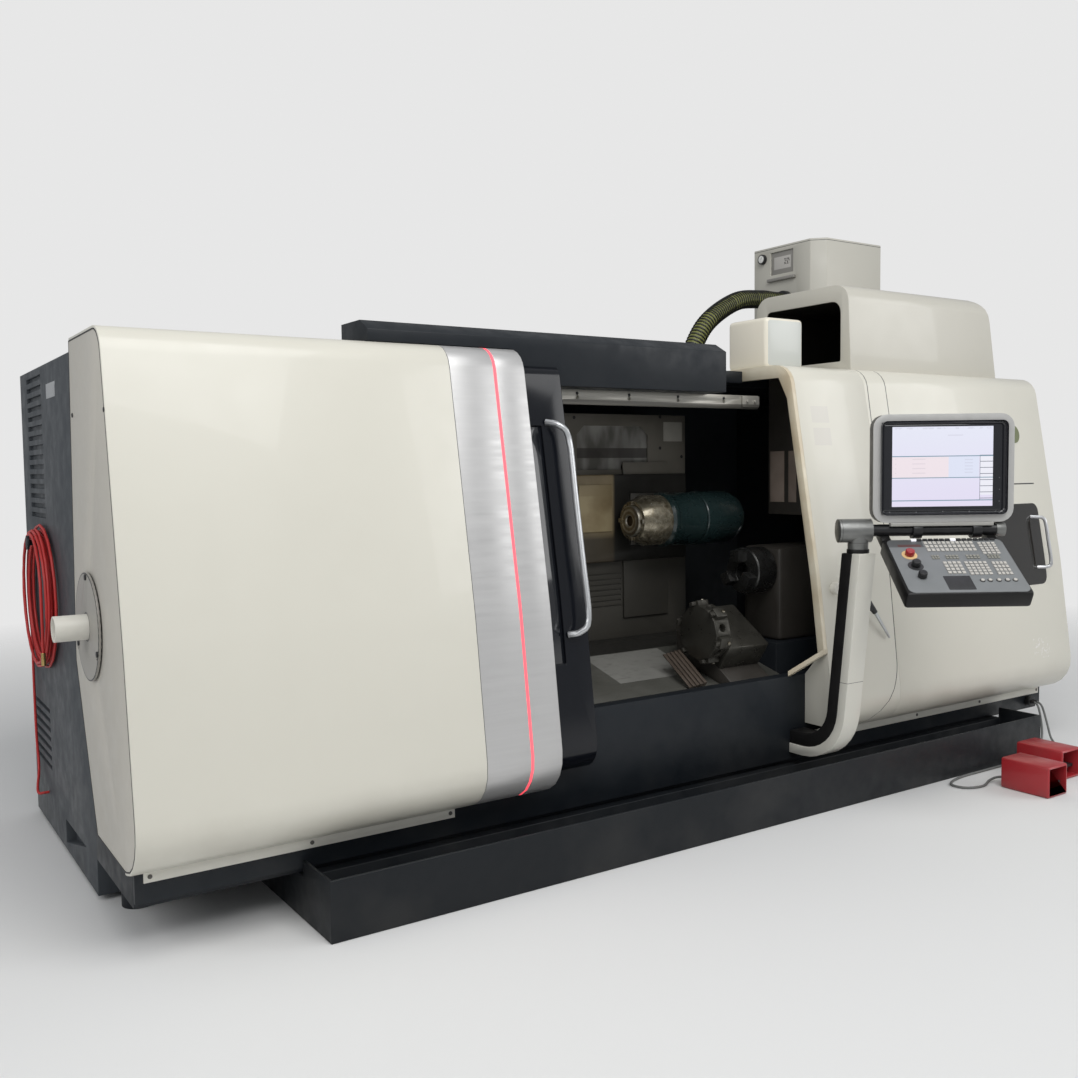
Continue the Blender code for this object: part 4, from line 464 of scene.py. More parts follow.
def dress(node, finish, edge=0.002, segments=2):
    """Shows a CAD solid by a finer copy, with its flat faces whole and its edges broken."""
    piece = copied(nodes[node], node + "_shown")
    pick(piece)
    bpy.ops.object.mode_set(mode="EDIT")
    bpy.ops.mesh.select_all(action="SELECT")
    bpy.ops.mesh.remove_doubles(threshold=0.00002)
    bpy.ops.mesh.dissolve_limited(angle_limit=math.radians(0.5))
    bpy.ops.object.mode_set(mode="OBJECT")
    if edge:
        round_edges(piece, edge, segments)
    settle(piece, BODY_OF[node], finish, 40.0)
    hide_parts(node)


def cover_face(x, z):
    """Y of the right cover's outer face at a place on it."""
    return nodes["right_cover"].ray_cast((x, -3.0, z), (0.0, 1.0, 0.0))[1].y


# Where the knob, the gun's clip and its tube's tip sit is read off the solid while it still shows.
knob_x, knob_z = 0.663, 1.000
knob_y = cover_face(knob_x, knob_z)
gun_y = cover_face(0.870, 0.893)
tip_x, tip_z = 1.010, 0.737
tip_y = cover_face(tip_x, tip_z)

joint = 0.0026
service_x, service_lean, bend_top, bend_pull = 1.076, 0.025, 0.62, 1.93
lid_x, lid_foot, band_x = 1.239, 1.45, -1.300
joint_black = (0.02, 0.02, 0.02)
cream = Finish("cream_enamel", (0.68, 0.66, 0.58), 0.34, coat=0.2)
x, y, z = cream.xyz()
bend = (bend_top - z).most(0.0)
service_joint = abs(x - service_x - (z - 1.0) * service_lean + bend * bend * bend_pull) < joint
lid_joint = x.near(lid_x, joint) * (z > lid_foot)
band_joint = x.near(band_x, 0.0024)
vent = x.between(2.215, 2.415) * z.near(1.466, 0.0035)
joints = service_joint + lid_joint + band_joint + vent
plates = x.between(0.665, 0.785) * (z.between(1.79, 1.87) + z.between(1.68, 1.765)) * (y < -0.5)
scuffed = x.between(2.22, 2.37) * z.between(0.50, 0.61) * (cream.noise(70.0, 5.0) > 0.58)
grime = cream.noise(4.0, 6.0).ramp(0.4, 0.8) * z.ramp(0.29, 0.55, 0.35, 0.0)
tone = cream.shade(0.03, cream.noise(1.3, 4.0))
tone = cream.mix(grime, tone, (0.36, 0.33, 0.27))
tone = cream.mix(plates * 0.5, tone, (0.60, 0.57, 0.53))
tone = cream.mix(scuffed, tone, (0.80, 0.78, 0.74))
cream.feed("Base Color", cream.mix(joints, tone, joint_black))
cream.vary(0.30, 0.42, 9.0, 2.0)
cream.bump(cream.noise(150.0, 2.0) - joints * 3.0, 0.05, 0.0006)
for node in ("headstock_cover", "right_cover", "service_cover"):
    dress(node, cream, edge=0.0015)

plain_cream = Finish("cream_enamel_plain", (0.56, 0.54, 0.475), 0.34, coat=0.2)
plain_cream.vary(0.30, 0.42, 9.0, 2.0)
plain_cream.bump(plain_cream.noise(150.0, 2.0), 0.05, 0.0006)
x, y, z = plain_cream.xyz()
# The region inside the cowl is painted near black, as painted shade.
inside_painted_shade = (x > 1.154) * y.between(-0.523, 0.013) * z.between(2.122, 2.443)
on_guard = x < 0.90
front_painted_shade = on_guard * (y < -0.509)
tone = plain_cream.shade(0.035, plain_cream.noise(1.6, 4.0))
# The guard box's side is painted lighter and warmer, as painted light, and its front face cooler
# and darker, as painted shade.
tone = plain_cream.mix(on_guard, tone, (0.82, 0.77, 0.65))
tone = plain_cream.mix(front_painted_shade, tone, (0.57, 0.585, 0.55))
plain_cream.feed("Base Color", plain_cream.mix(inside_painted_shade, tone, (0.012, 0.011, 0.010)))
for node in ("cowl", "guard_box"):
    dress(node, plain_cream, edge=0.004, segments=3)

# Opening's frame
# Folded sheet that ends the right cover at the opening, in the covers' cream enamel. Coolant has
# browned it in patches. Its sill leans back to the apron.
frame_cream = Finish("frame_cream", (0.74, 0.69, 0.56), 0.36, coat=0.2)
stain = frame_cream.noise(5.0, 6.0).ramp(0.35, 0.7)
frame_cream.feed("Base Color", frame_cream.mix(stain, (0.72, 0.66, 0.52), (0.56, 0.47, 0.33)))
frame_cream.vary(0.3, 0.5, 12.0)
dress("opening_frame", frame_cream, edge=0.0015)

# End plate
# Warm grey enamelled sheet that closes the left cover, the flange screwed on it round the bar tube,
# and the tube and the strips under the covers in white enamel.
warm_grey = Finish("warm_grey_enamel", (0.52, 0.495, 0.44), 0.42)
warm_grey.mottle(0.05, 2.0, 4.0)
warm_grey.vary(0.36, 0.52, 10.0)
warm_grey.bump(warm_grey.noise(150.0, 2.0), 0.05, 0.0006)
dress("left_end_plate", warm_grey, edge=0.002)
tube_y, tube_z = -0.42, 1.055
cap_grey = Finish("cap_grey_enamel", (0.33, 0.315, 0.285), 0.38)
y, z = cap_grey.xyz()[1:]
reach = ((y - tube_y) * (y - tube_y) + (z - tube_z) * (z - tube_z)).math("SQRT")
rims = reach.near(0.187, 0.0025) + reach.near(0.049, 0.003)
tone = cap_grey.shade(0.08, cap_grey.noise(6.0))
cap_grey.feed("Base Color", cap_grey.mix(rims, tone, (0.03, 0.03, 0.03)))
dress("spindle_end_cap", cap_grey, edge=0.0015)
white = Finish("white_enamel", (0.72, 0.70, 0.63), 0.4)
y, z = white.xyz()[1:]
strip_face, strip_top = -0.8172, 0.30
screw_heads = (y < strip_face) * (z < strip_top)
tone = white.shade(0.06, white.noise(14.0, 4.0))
white.feed("Base Color", white.mix(screw_heads, tone, (0.10, 0.095, 0.085)))
white.vary(0.34, 0.5, 20.0)
for node in ("left_flange_strip", "right_flange_strip", "bar_tube"):
    dress(node, white, edge=0.001)

# Base, apron and coolant tank
# Welded and folded steel in anthracite satin enamel, with dust settled on it low down. The tank
# stands on the floor in front of the base.
def dark_enamel(name, colour, roughness=0.5, dust_colour=(0.13, 0.125, 0.115)):
    """Satin enamel with dust that thins out upwards."""
    made = Finish(name, colour, roughness)
    z = made.xyz()[2]
    dust = made.noise(3.0, 7.0).ramp(0.45, 0.75) * z.ramp(0.0, 0.4, 0.45, 0.08)
    made.feed("Base Color", made.mix(dust, made.shade(0.2, made.noise(1.5, 4.0)), dust_colour))
    made.vary(roughness - 0.08, roughness + 0.12, 14.0)
    made.bump(made.noise(240.0, 2.0), 0.06, 0.0005)
    made.shader.inputs["Specular IOR Level"].default_value = 0.3
    return made


anthracite = dark_enamel("anthracite_enamel", (0.011, 0.014, 0.018), 0.46, (0.075, 0.072, 0.066))
for node in ("bed_frame", "front_apron", "door_beam", "roof_panel", "hose_hook"):
    dress(node, anthracite, edge=0.002)
tank_enamel = dark_enamel("tank_enamel", (0.0085, 0.0105, 0.013), 0.46, (0.050, 0.048, 0.045))
dress("coolant_tank", tank_enamel, edge=0.003)

# Electrical cabinet and rear housing
# Cabinet of folded sheet with pressed louvres and a door hinged at its back, and the plain sheet
# housing behind the covers, both in blue grey enamel.
cabinet_grey = dark_enamel("cabinet_grey_enamel", (0.050, 0.057, 0.065), 0.5)
for node in ("electrical_cabinet", "cabinet_door", "rear_housing"):
    dress(node, cabinet_grey, edge=0.002)

# Silver band and its lamp
# Brushed aluminium sheet rolled round the left cover's edge, and a red moulded light line pressed
# into its groove.
brushed = (0.05, 1.0, 1.0)
silver = Finish("brushed_aluminium", (0.56, 0.555, 0.55), 0.40, 0.5)
silver.mottle(0.05, 80.0, 2.0, brushed)
silver.vary(0.34, 0.46, 60.0, 2.0, brushed)
dress("silver_band", silver, edge=0.0015)
lamp_red = Finish("lamp_red", (0.85, 0.12, 0.15), 0.4)
lamp_red.feed("Emission Color", (1.0, 0.085, 0.115))
lamp_red.shader.inputs["Emission Strength"].default_value = 1.0
dress("light_strip", lamp_red, edge=0.0)

# Door
# Folded sheet in black gloss enamel with a dark tinted pane let into it, and a long bent tube as
# its grip. The service cover has a shorter grip of the same tube.
door_black = Finish("door_black", (0.006, 0.007, 0.010), 0.14)
door_black.shader.inputs["Specular IOR Level"].default_value = 0.35
door_black.vary(0.10, 0.20, 5.0, 4.0)
dress("door_panel", door_black, edge=0.004, segments=3)
pane = Finish("door_glass", (0.008, 0.009, 0.012), 0.06, coat=0.3)
pane.vary(0.04, 0.10, 4.0, 4.0)
dress("door_window", pane, edge=0.001)
grip_silver = Finish("grip_silver", (0.55, 0.56, 0.57), 0.34, 0.8)
grip_silver.vary(0.30, 0.38, 60.0)
for node in ("door_handle", "service_handle"):
    dress(node, grip_silver, edge=0.0)


# Work area
# Painted castings and sheet behind the opening, dulled by coolant: the travelling column with its
# shallow recess and way cover, the far wall and the sheet chip slope. Light and shade are painted
# on the column's recess and below the head, and on the chip slope.
def block(name, low, high, edge=0.001, segments=2):
    """A flat-sided solid between two corners, with its edges broken."""
    deselect()
    bpy.ops.mesh.primitive_cube_add(
        size=1.0,
        location=[(a + b) / 2 for a, b in zip(low, high)],
        scale=[b - a for a, b in zip(low, high)],
    )
    piece = bpy.context.object
    piece.name = name
    bpy.ops.object.transform_apply(location=True, rotation=True, scale=True)
    if edge:
        round_edges(piece, edge, segments)
    return piece


def joined(name, pieces):
    """One object from several, named anew."""
    pick(pieces[0])
    for piece in pieces[1:]:
        piece.select_set(True)
    bpy.ops.object.join()
    pieces[0].name = name
    return pieces[0]


column_front = 0.060
column_grey = Finish("column_grey", (0.105, 0.098, 0.082), 0.46)
x, y, z = column_grey.xyz()
recess = x.between(-0.136, 0.326) * z.between(1.574, 1.801) * (y > column_front + 0.006)
band = recess * z.between(1.635, 1.686)
# A streaked highlight is painted into the recess.
glare = recess * column_grey.noise(9.0, 3.0, (1.0, 1.0, 0.35)).ramp(0.42, 0.62)
film = column_grey.noise(3.0, 5.0).ramp(0.3, 0.7)
tone = column_grey.mix(film, (0.200, 0.185, 0.155), (0.130, 0.120, 0.100))
# The column is painted darker below the milling head, as painted shade.
tone = column_grey.mix(z.ramp(1.05, 1.25, 0.75, 0.0), tone, (0.030, 0.029, 0.025))
tone = column_grey.mix(recess, tone, (0.150, 0.145, 0.130))
tone = column_grey.mix(glare * 0.8, tone, (0.42, 0.41, 0.385))
column_grey.feed("Base Color", column_grey.mix(band * 0.8, tone, (0.065, 0.058, 0.055)))
column_grey.feed("Roughness", recess.ramp(0.0, 1.0, 0.5, 0.3))
column_grey.bump(column_grey.noise(60.0, 4.0), 0.08, 0.0008)
dress("column", column_grey, edge=0.003)
work_dark = Finish("work_dark", (0.045, 0.040, 0.034), 0.45)
work_dark.mottle(0.5, 4.0, 6.0)
work_dark.vary(0.38, 0.6, 12.0)
work_dark.bump(work_dark.noise(80.0, 4.0), 0.12, 0.0008)
for node in ("headstock", "counter_spindle_housing", "side_wall", "lower_saddle"):
    dress(node, work_dark, edge=0.003)
for name, foot, top, front in (
    ("ram_slot_cover", 0.800, 1.104, 0.0585),
    ("ram_slot_shield", 1.545, 1.612, 0.0580),
):
    slot_plate = block(name, (0.150, 0.0460, foot), (0.450, front, top), 0.002)
    settle(slot_plate, "head_slide", column_grey)
screws = []
proud = column_front - 0.00015
for x, z in ((0.411, 1.851), (0.410, 1.686), (-0.150, 1.840), (0.560, 1.640)):
    screws.append(round_bar("column_screw", (x, 0.0640, z), (x, proud, z), 0.009, 0.0001, 12))
settle(joined("column_screws", screws), "column", relief_black)
plate_grey = Finish("plate_grey", (0.36, 0.345, 0.305), 0.42)
plate_grey.mottle(0.15, 20.0, 4.0)
bare_plate = block("column_plate", (0.434, 0.0591, 1.722), (0.563, 0.0620, 1.824), 0.0006)
settle(bare_plate, "column", plate_grey)

slope_steel = Finish("slope_steel", (0.12, 0.118, 0.105), 0.42, 0.3)
x, y = slope_steel.xyz()[:2]
# A bright patch is painted on the slope, as a painted reflection.
painted_reflection = x.between(-0.30, 0.16) * y.between(-0.50, -0.205)
scratch = slope_steel.noise(30.0, 6.0, (0.6, 2.0, 2.0))
film = slope_steel.noise(2.5, 5.0).ramp(0.3, 0.7)
tone = slope_steel.mix(film, (0.085, 0.085, 0.072), (0.15, 0.148, 0.132))
tone = slope_steel.mix(painted_reflection * 0.85, tone, (0.34, 0.335, 0.31))
tone = slope_steel.mix(scratch.ramp(0.55, 0.75) * 0.35, tone, (0.07, 0.062, 0.05))
# The slope's back part is painted near black, as painted shade.
slope_steel.feed("Base Color", slope_steel.mix((y > -0.20) * 0.9, tone, (0.02, 0.019, 0.017)))
slope_steel.vary(0.34, 0.55, 12.0, 5.0)
dress("chip_slope", slope_steel, edge=0.002)

# Upper door rail
# Ground steel bar bolted under the beam, which the door rolls along, and a bolted bracket at its
# right end. The grain of the grinding runs along the bar.
rail_foot, rail_front, bolts_z = 1.886, -0.512, 1.9125
along_bar = (0.1, 1.0, 1.0)
rail_steel = Finish("rail_steel", (0.46, 0.445, 0.40), 0.36, 0.5)
# The rail's lower lip is painted dark, as painted shade under the rail.
lower_lip_shade = (rail_steel.xyz()[2] < rail_foot) * 0.75
tone = rail_steel.shade(0.08, rail_steel.noise(30.0, 3.0, along_bar))
rail_steel.feed("Base Color", rail_steel.mix(lower_lip_shade, tone, (0.09, 0.085, 0.075)))
rail_steel.vary(0.3, 0.44, 40.0, 3.0, along_bar)
dress("top_rail", rail_steel, edge=0.0015)
bolts = []
for k in range(5):
    start = Vector((-0.835 + 0.29 * k, rail_front, bolts_z))
    end = start - Vector((0.0, 0.0115, 0.0))
    bolts.append(round_bar("rail_bolt", start, end, 0.0075, 0.0015, 6))
settle(joined("rail_bolts", bolts), "machine", relief_black)
bracket = block("rail_bracket", (0.440, -0.532, 1.872), (0.552, -0.521, 1.926), 0.002)
nuts = []
for x in (0.470, 0.520):
    nuts.append(round_bar("bracket_bolt", (x, -0.530, 1.900), (x, -0.541, 1.900), 0.009, 0.002, 6))
settle(joined("rail_end_bracket", [bracket, *nuts]), "machine", rail_steel)

# Side wall windows
# Two narrow laminated panes, set in the dark wall behind the opening's frame. Coolant mist has left
# them brown.
mist_brown = Finish("mist_brown", (0.30, 0.24, 0.20), 0.25, coat=0.3)
mist_brown.mottle(0.35, 8.0, 5.0)
for name, front, back in (("side_pane_front", -0.489, -0.435), ("side_pane_back", -0.405, -0.306)):
    side_pane = block(name, (0.8570, front, 1.395), (0.8602, back, 1.660), 0.0008)
    settle(side_pane, "machine", mist_brown)

# Milling head and its slide
# The swivelling head is a teal enamelled casting with a ground steel nose, a bolted ring and a tool
# spindle. Its slide is painted tan, chipped and stained with oil, with a raised block at the left;
# shade is painted on it below the head and beside the block.
head_teal = Finish("head_teal", (0.014, 0.028, 0.028), 0.22, coat=0.6)
x = head_teal.xyz()[0]
steel_part = x < 0.232
film = head_teal.noise(40.0, 5.0).ramp(0.35, 0.7)
warm_steel = head_teal.mix(film, (0.30, 0.27, 0.20), (0.13, 0.105, 0.065))
groove = x.near(0.452, 0.0022) + x.near(0.268, 0.0018)
teal = head_teal.shade(0.3, head_teal.noise(6.0, 5.0))
teal = head_teal.mix(groove, teal, (0.004, 0.008, 0.008))
head_teal.feed("Base Color", head_teal.mix(steel_part, teal, warm_steel))
head_teal.feed("Metallic", steel_part * 0.7)
head_teal.vary(0.18, 0.34, 14.0, 4.0)
dress("milling_head", head_teal, edge=0.003, segments=3)
head_y, head_z = -0.130, 1.316
nose_steel = Finish("nose_steel", (0.36, 0.34, 0.29), 0.3, 0.8)
y, z = nose_steel.xyz()[1:]
reach = ((y - head_y) * (y - head_y) + (z - head_z) * (z - head_z)).math("SQRT")
turned = (reach * 260.0).math("SINE").ramp(-0.2, 0.6)
tone = nose_steel.mix(turned, (0.20, 0.175, 0.13), (0.42, 0.40, 0.34))
film = nose_steel.noise(60.0, 4.0).ramp(0.45, 0.7) * 0.6
tone = nose_steel.mix(film, tone, (0.16, 0.12, 0.07))
nose_steel.feed("Base Color", nose_steel.mix(reach < 0.026, tone, (0.05, 0.035, 0.022)))
nose_steel.vary(0.22, 0.45, 30.0)
dress("tool_spindle", nose_steel, edge=0.002)


def ringed(name, piece, count):
    """A piece and its copies spread evenly round the milling head's axis, as one."""
    centre = Matrix.Translation((0.0, head_y, head_z))
    made = [piece]
    for k in range(1, count):
        spin = Matrix.Rotation(2 * math.pi * k / count, 4, "X")
        made.append(copied(piece, name + "_copy", centre @ spin @ centre.inverted()))
    return joined(name, made)


bolts_up = head_z + 0.119
bolt_root, bolt_head = (0.137, head_y, bolts_up), (0.117, head_y, bolts_up)
bolt = round_bar("nose_bolt", bolt_root, bolt_head, 0.0065, 0.0015, 12)
settle(ringed("nose_bolts", bolt, 16), "milling_head", nose_steel)
key_low = (0.0545, head_y - 0.010, head_z + 0.080)
key_high = (0.0700, head_y + 0.010, head_z + 0.098)
key = block("nose_key", key_low, key_high, 0.0015)
settle(ringed("nose_keys", key, 4), "milling_head", nose_steel)
slide_tan = Finish("slide_tan", (0.36, 0.29, 0.17), 0.45)
x, _, z = slide_tan.xyz()
# A dark strip right of the raised block is painted shade, standing in for the block's depth.
painted_shade_side = x.ramp(0.058, 0.075)
oil = slide_tan.noise(5.0, 6.0).ramp(0.35, 0.75)
# The slide is painted dark below the milling head, as painted shade.
shade_below_head = z.ramp(1.22, 1.27, 1.0, 0.0)
tone = slide_tan.mix(oil, (0.34, 0.27, 0.16), (0.15, 0.11, 0.055))
tone = slide_tan.mix(shade_below_head * 0.9, tone, (0.045, 0.038, 0.028))
slide_tan.feed("Base Color", slide_tan.mix(painted_shade_side, tone, (0.026, 0.025, 0.022)))
slide_tan.vary(0.34, 0.55, 15.0, 4.0)
dress("head_slide", slide_tan, edge=0.004)
raised = block("slide_block", (-0.160, 0.0118, 1.258), (0.050, 0.0205, 1.500), 0.0035, 3)
block_tan = Finish("block_tan", (0.42, 0.34, 0.20), 0.42)
shade_line = 1.442
oil = block_tan.noise(6.0, 6.0).ramp(0.4, 0.75)
tone = block_tan.mix(oil, block_tan.colour, (0.22, 0.16, 0.08))
upper = (block_tan.xyz()[2] > shade_line) * 0.6
block_tan.feed("Base Color", block_tan.mix(upper, tone, (0.30, 0.235, 0.13)))
block_tan.vary(0.34, 0.5, 15.0)
settle(raised, "head_slide", block_tan)
ram_steel = Finish("ram_steel", (0.10, 0.095, 0.085), 0.35, 0.6)
ram_steel.mottle(0.2, 20.0, 4.0)
dress("head_ram", ram_steel, edge=0.002)

# Spindles and turret
# Ground steel chucks with hard jaws, and the cast turret disc on its sloped slide. Six of its
# twelve stations carry a clamped tool holder. Folded brown sheets guard it at the left.
chuck_steel = Finish("chuck_steel", (0.075, 0.075, 0.072), 0.28, 0.85)
chuck_steel.mottle(0.25, 25.0, 4.0)
chuck_steel.vary(0.2, 0.4, 30.0)
for node in ("main_chuck", "counter_chuck"):
    dress(node, chuck_steel, edge=0.003, segments=3)
turret_grey = Finish("turret_grey", (0.060, 0.057, 0.048), 0.36, 0.5)
turret_grey.mottle(0.35, 9.0, 6.0)
turret_grey.vary(0.24, 0.5, 22.0)
for node in ("turret_disc", "lower_slide"):
    dress(node, turret_grey, edge=0.003)
stations = 12
disc_centre = Matrix.Translation((0.0, -0.5916, 0.8025))
holder = block("tool_holder", (0.102, -0.026, 0.118), (0.168, 0.026, 0.150), 0.004)
shank = block("tool_shank", (0.076, -0.011, 0.128), (0.128, 0.011, 0.146), 0.0015)
one_tool = joined("one_tool", [holder, shank])
screw = round_bar("holder_screw", (0.152, 0.0, 0.148), (0.152, 0.0, 0.156), 0.008, 0.0015, 16)
tools, screws = [], []
for station in range(0, stations, 2):
    angle = 2 * math.pi * (station + 0.5) / stations - math.pi / 2
    spin = disc_centre @ Matrix.Rotation(angle, 4, "X")
    tools.append(copied(one_tool, "tool_copy", spin))
    screws.append(copied(screw, "screw_copy", spin))
for piece in (one_tool, screw):
    bpy.data.objects.remove(piece)
settle(joined("tool_holders", tools), BODY_OF["turret_disc"], turret_grey)
settle(joined("holder_screws", screws), BODY_OF["turret_disc"], nose_steel)
guard_brown = Finish("guard_brown", (0.115, 0.090, 0.072), 0.34, 0.3)
guard_brown.mottle(0.4, 10.0, 6.0, (1.0, 0.4, 1.0))
guard_brown.vary(0.25, 0.5, 20.0)
folds = []
for k in range(5):
    left = -0.020 + 0.021 * k
    low, high = (left, -0.115, -0.003), (left + 0.017, 0.115, 0.003 + 0.004 * k)
    folds.append(block("guard_fold", low, high, 0.001))
guard = joined("turret_guard", folds)
slide_slope = Matrix.Rotation(math.radians(34.0), 4, "X")
guard.data.transform(Matrix.Translation((0.0, -0.560, 0.628)) @ slide_slope)
settle(guard, BODY_OF["lower_saddle"], guard_brown)

# Extractor and its hose
# Painted sheet box with a lid, a pressure gauge and a recessed display on its side, and a ribbed
# plastic hose that runs to it from the roof.
extractor_grey = Finish("extractor_grey", (0.49, 0.475, 0.42), 0.42)
lid_joint = extractor_grey.xyz()[2].between(2.9415, 2.9445)
tone = extractor_grey.shade(0.04, extractor_grey.noise(2.0, 4.0))
extractor_grey.feed("Base Color", extractor_grey.mix(lid_joint, tone, (0.03, 0.03, 0.03)))
extractor_grey.vary(0.36, 0.5, 10.0)
dress("mist_extractor", extractor_grey, edge=0.003)
satin_black = Finish("satin_black", (0.013, 0.013, 0.014), 0.42)
satin_black.mottle(0.3, 20.0)
gauge_y, gauge_z = 0.610, 2.890
hose_y, hose_z = 0.420, 2.600
case_back, case_front = (1.7300, gauge_y, gauge_z), (1.7080, gauge_y, gauge_z)
gauge = round_bar("gauge_case", case_back, case_front, 0.031, 0.003, 40)
flange_back, flange_front = (1.7297, hose_y, hose_z), (1.6900, hose_y, hose_z)
flange = round_bar("hose_flange", flange_back, flange_front, 0.067, 0.006, 40)
settle(joined("gauge_and_flange", [gauge, flange]), "machine", satin_black)
dial_white = Finish("dial_white", (0.72, 0.72, 0.69), 0.3, coat=0.5)
y, z = dial_white.xyz()[1:]
across = (y - gauge_y) * 0.8 + (z - gauge_z) * 0.6
pointer = abs(across).near(0.0, 0.0012) * (z > gauge_z - 0.002)
dial_white.feed("Base Color", dial_white.mix(pointer, dial_white.colour, (0.03, 0.03, 0.03)))
dial_back, dial_front = (1.7085, gauge_y, gauge_z), (1.7070, gauge_y, gauge_z)
dial = round_bar("gauge_dial", dial_back, dial_front, 0.023, 0.0005, 40)
settle(dial, "machine", dial_white)
display = Finish("display_grey", (0.30, 0.29, 0.265), 0.35)
y, z = display.xyz()[1:]
pane_area = y.between(0.385, 0.525) * z.between(2.812, 2.888)
digits = y.between(0.395, 0.440) * z.between(2.835, 2.872) * (display.noise(150.0) > 0.5)
tone = display.mix(pane_area, (0.26, 0.25, 0.23), (0.50, 0.48, 0.45))
display.feed("Base Color", display.mix(digits, tone, (0.06, 0.055, 0.05)))
panel_face = block("extractor_display", (1.7380, 0.3605, 2.7805), (1.7510, 0.5495, 2.9195), 0.003)
ledge = block("extractor_ledge", (1.7080, 0.335, 2.738), (1.7298, 0.562, 2.757), 0.004)
settle(joined("extractor_panel", [panel_face, ledge]), "machine", display)
hose_green = Finish("hose_green", (0.19, 0.20, 0.060), 0.5)
hose_green.mottle(0.2, 12.0, 3.0)
hose_green.vary(0.4, 0.6, 20.0)
dress("extractor_hose", hose_green, edge=0.0)
hose_path = smooth_route(
    [
        (0.820, 0.300, 2.059),
        (0.820, 0.300, 2.121),
        (0.820, 0.300, 2.181),
        (0.970, 0.320, 2.401),
        (1.260, 0.380, 2.560),
        (1.510, hose_y, hose_z),
        (1.620, hose_y, hose_z),
        (1.729, hose_y, hose_z),
    ],
    400,
)
deselect()
bpy.ops.mesh.primitive_torus_add(
    major_radius=0.0508, minor_radius=0.0040, major_segments=32, minor_segments=6
)
rib = bpy.context.object
rib_pitch = 0.0175
ribs, gone = [], 0.0
for a, b in zip(hose_path, hose_path[1:]):
    step = Vector(b) - Vector(a)
    gone += step.length
    if gone >= rib_pitch:
        gone = 0.0
        along = step.to_track_quat("Z", "Y").to_matrix().to_4x4()
        ribs.append(copied(rib, "hose_rib", Matrix.Translation(b) @ along))
bpy.data.objects.remove(rib)
settle(joined("hose_ribs", ribs), "machine", satin_black, 60.0)

# Panel arm
# Pale enamelled sheet arm, bent up from the apron, with a black moulded cable cover clipped along
# its inner side and a bearing ring on its top.
arm_x, arm_y = 0.526, -1.169
arm_enamel = Finish("arm_enamel", (0.64, 0.625, 0.56), 0.36, coat=0.2)
arm_joint = arm_enamel.xyz()[2].near(0.602, 0.0012)
tone = arm_enamel.shade(0.03, arm_enamel.noise(3.0, 4.0))
arm_enamel.feed("Base Color", arm_enamel.mix(arm_joint, tone, (0.10, 0.095, 0.085)))
arm_enamel.vary(0.30, 0.44, 9.0)
dress("arm_shell", arm_enamel, edge=0.002)
cover_black = Finish("cable_cover_black", (0.012, 0.0115, 0.0115), 0.38)
cover_black.mottle(0.25, 6.0, 4.0)
cover_black.vary(0.30, 0.50, 12.0)
cover_black.shader.inputs["Specular IOR Level"].default_value = 0.25
dress("arm_cable_cover", cover_black, edge=0.007, segments=4)
ring_foot, ring_top = (arm_x, arm_y, 1.1902), (arm_x, arm_y, 1.2080)
arm_ring = round_bar("arm_bearing_ring", ring_foot, ring_top, 0.0490, 0.002, 40)
settle(arm_ring, BODY_OF["panel_tee"], cover_black)

# Panel head and hinge bar
# Cast aluminium tee, blasted and lacquered, that turns on the arm. Its bar carries the hinges of
# the monitor and the keyboard in a black sleeve.
panel_turned = Matrix.Rotation(math.radians(-33.56), 4, "Z")
panel = Matrix.Translation((arm_x, arm_y, 1.290)) @ panel_turned
tee_cast = Finish("tee_cast", (0.21, 0.213, 0.205), 0.36, 0.6)
along, _, z = tee_cast.seen_from(panel)
sleeve = along.between(0.0565, 0.6095)
end_line = along.near(-0.0805, 0.001) + z.near(-0.0535, 0.0008) * along.between(-0.05, 0.05)
tone = tee_cast.shade(0.12, tee_cast.noise(40.0, 4.0, (0.4, 0.4, 1.0)))
tone = tee_cast.mix(end_line, tone, (0.06, 0.06, 0.06))
tee_cast.feed("Base Color", tee_cast.mix(sleeve, tone, (0.012, 0.012, 0.013)))
tee_cast.feed("Metallic", 0.6 - 0.6 * sleeve)
tee_cast.vary(0.28, 0.44, 30.0)
dress("panel_tee", tee_cast, edge=0.003, segments=3)


# Monitor
# Black moulded housing with a silver enamelled rim, a black glass front with rounded corners and a
# lit screen. A pale sheet cover hides its hinges.
def slab(name, low, high, radius, thin, edge=0.0006):
    """A flat plate, thin along one axis, with its four corners rounded."""
    piece = block(name, low, high, 0.0)
    for line in piece.data.edges:
        a, b = (piece.data.vertices[k].co for k in line.vertices)
        line.select = abs((b - a)[thin]) > 0.9 * (high[thin] - low[thin])
    for face in piece.data.polygons:
        face.select = False
    bpy.ops.object.mode_set(mode="EDIT")
    bpy.ops.mesh.select_mode(type="EDGE")
    bpy.ops.mesh.bevel(offset=radius, segments=8, affect="EDGES")
    bpy.ops.object.mode_set(mode="OBJECT")
    return round_edges(piece, edge, 2)


def onto(piece, matrix, body, finish):
    """Settles a piece that was made in another frame's coordinates."""
    piece.data.transform(matrix)
    settle(piece, body, finish)


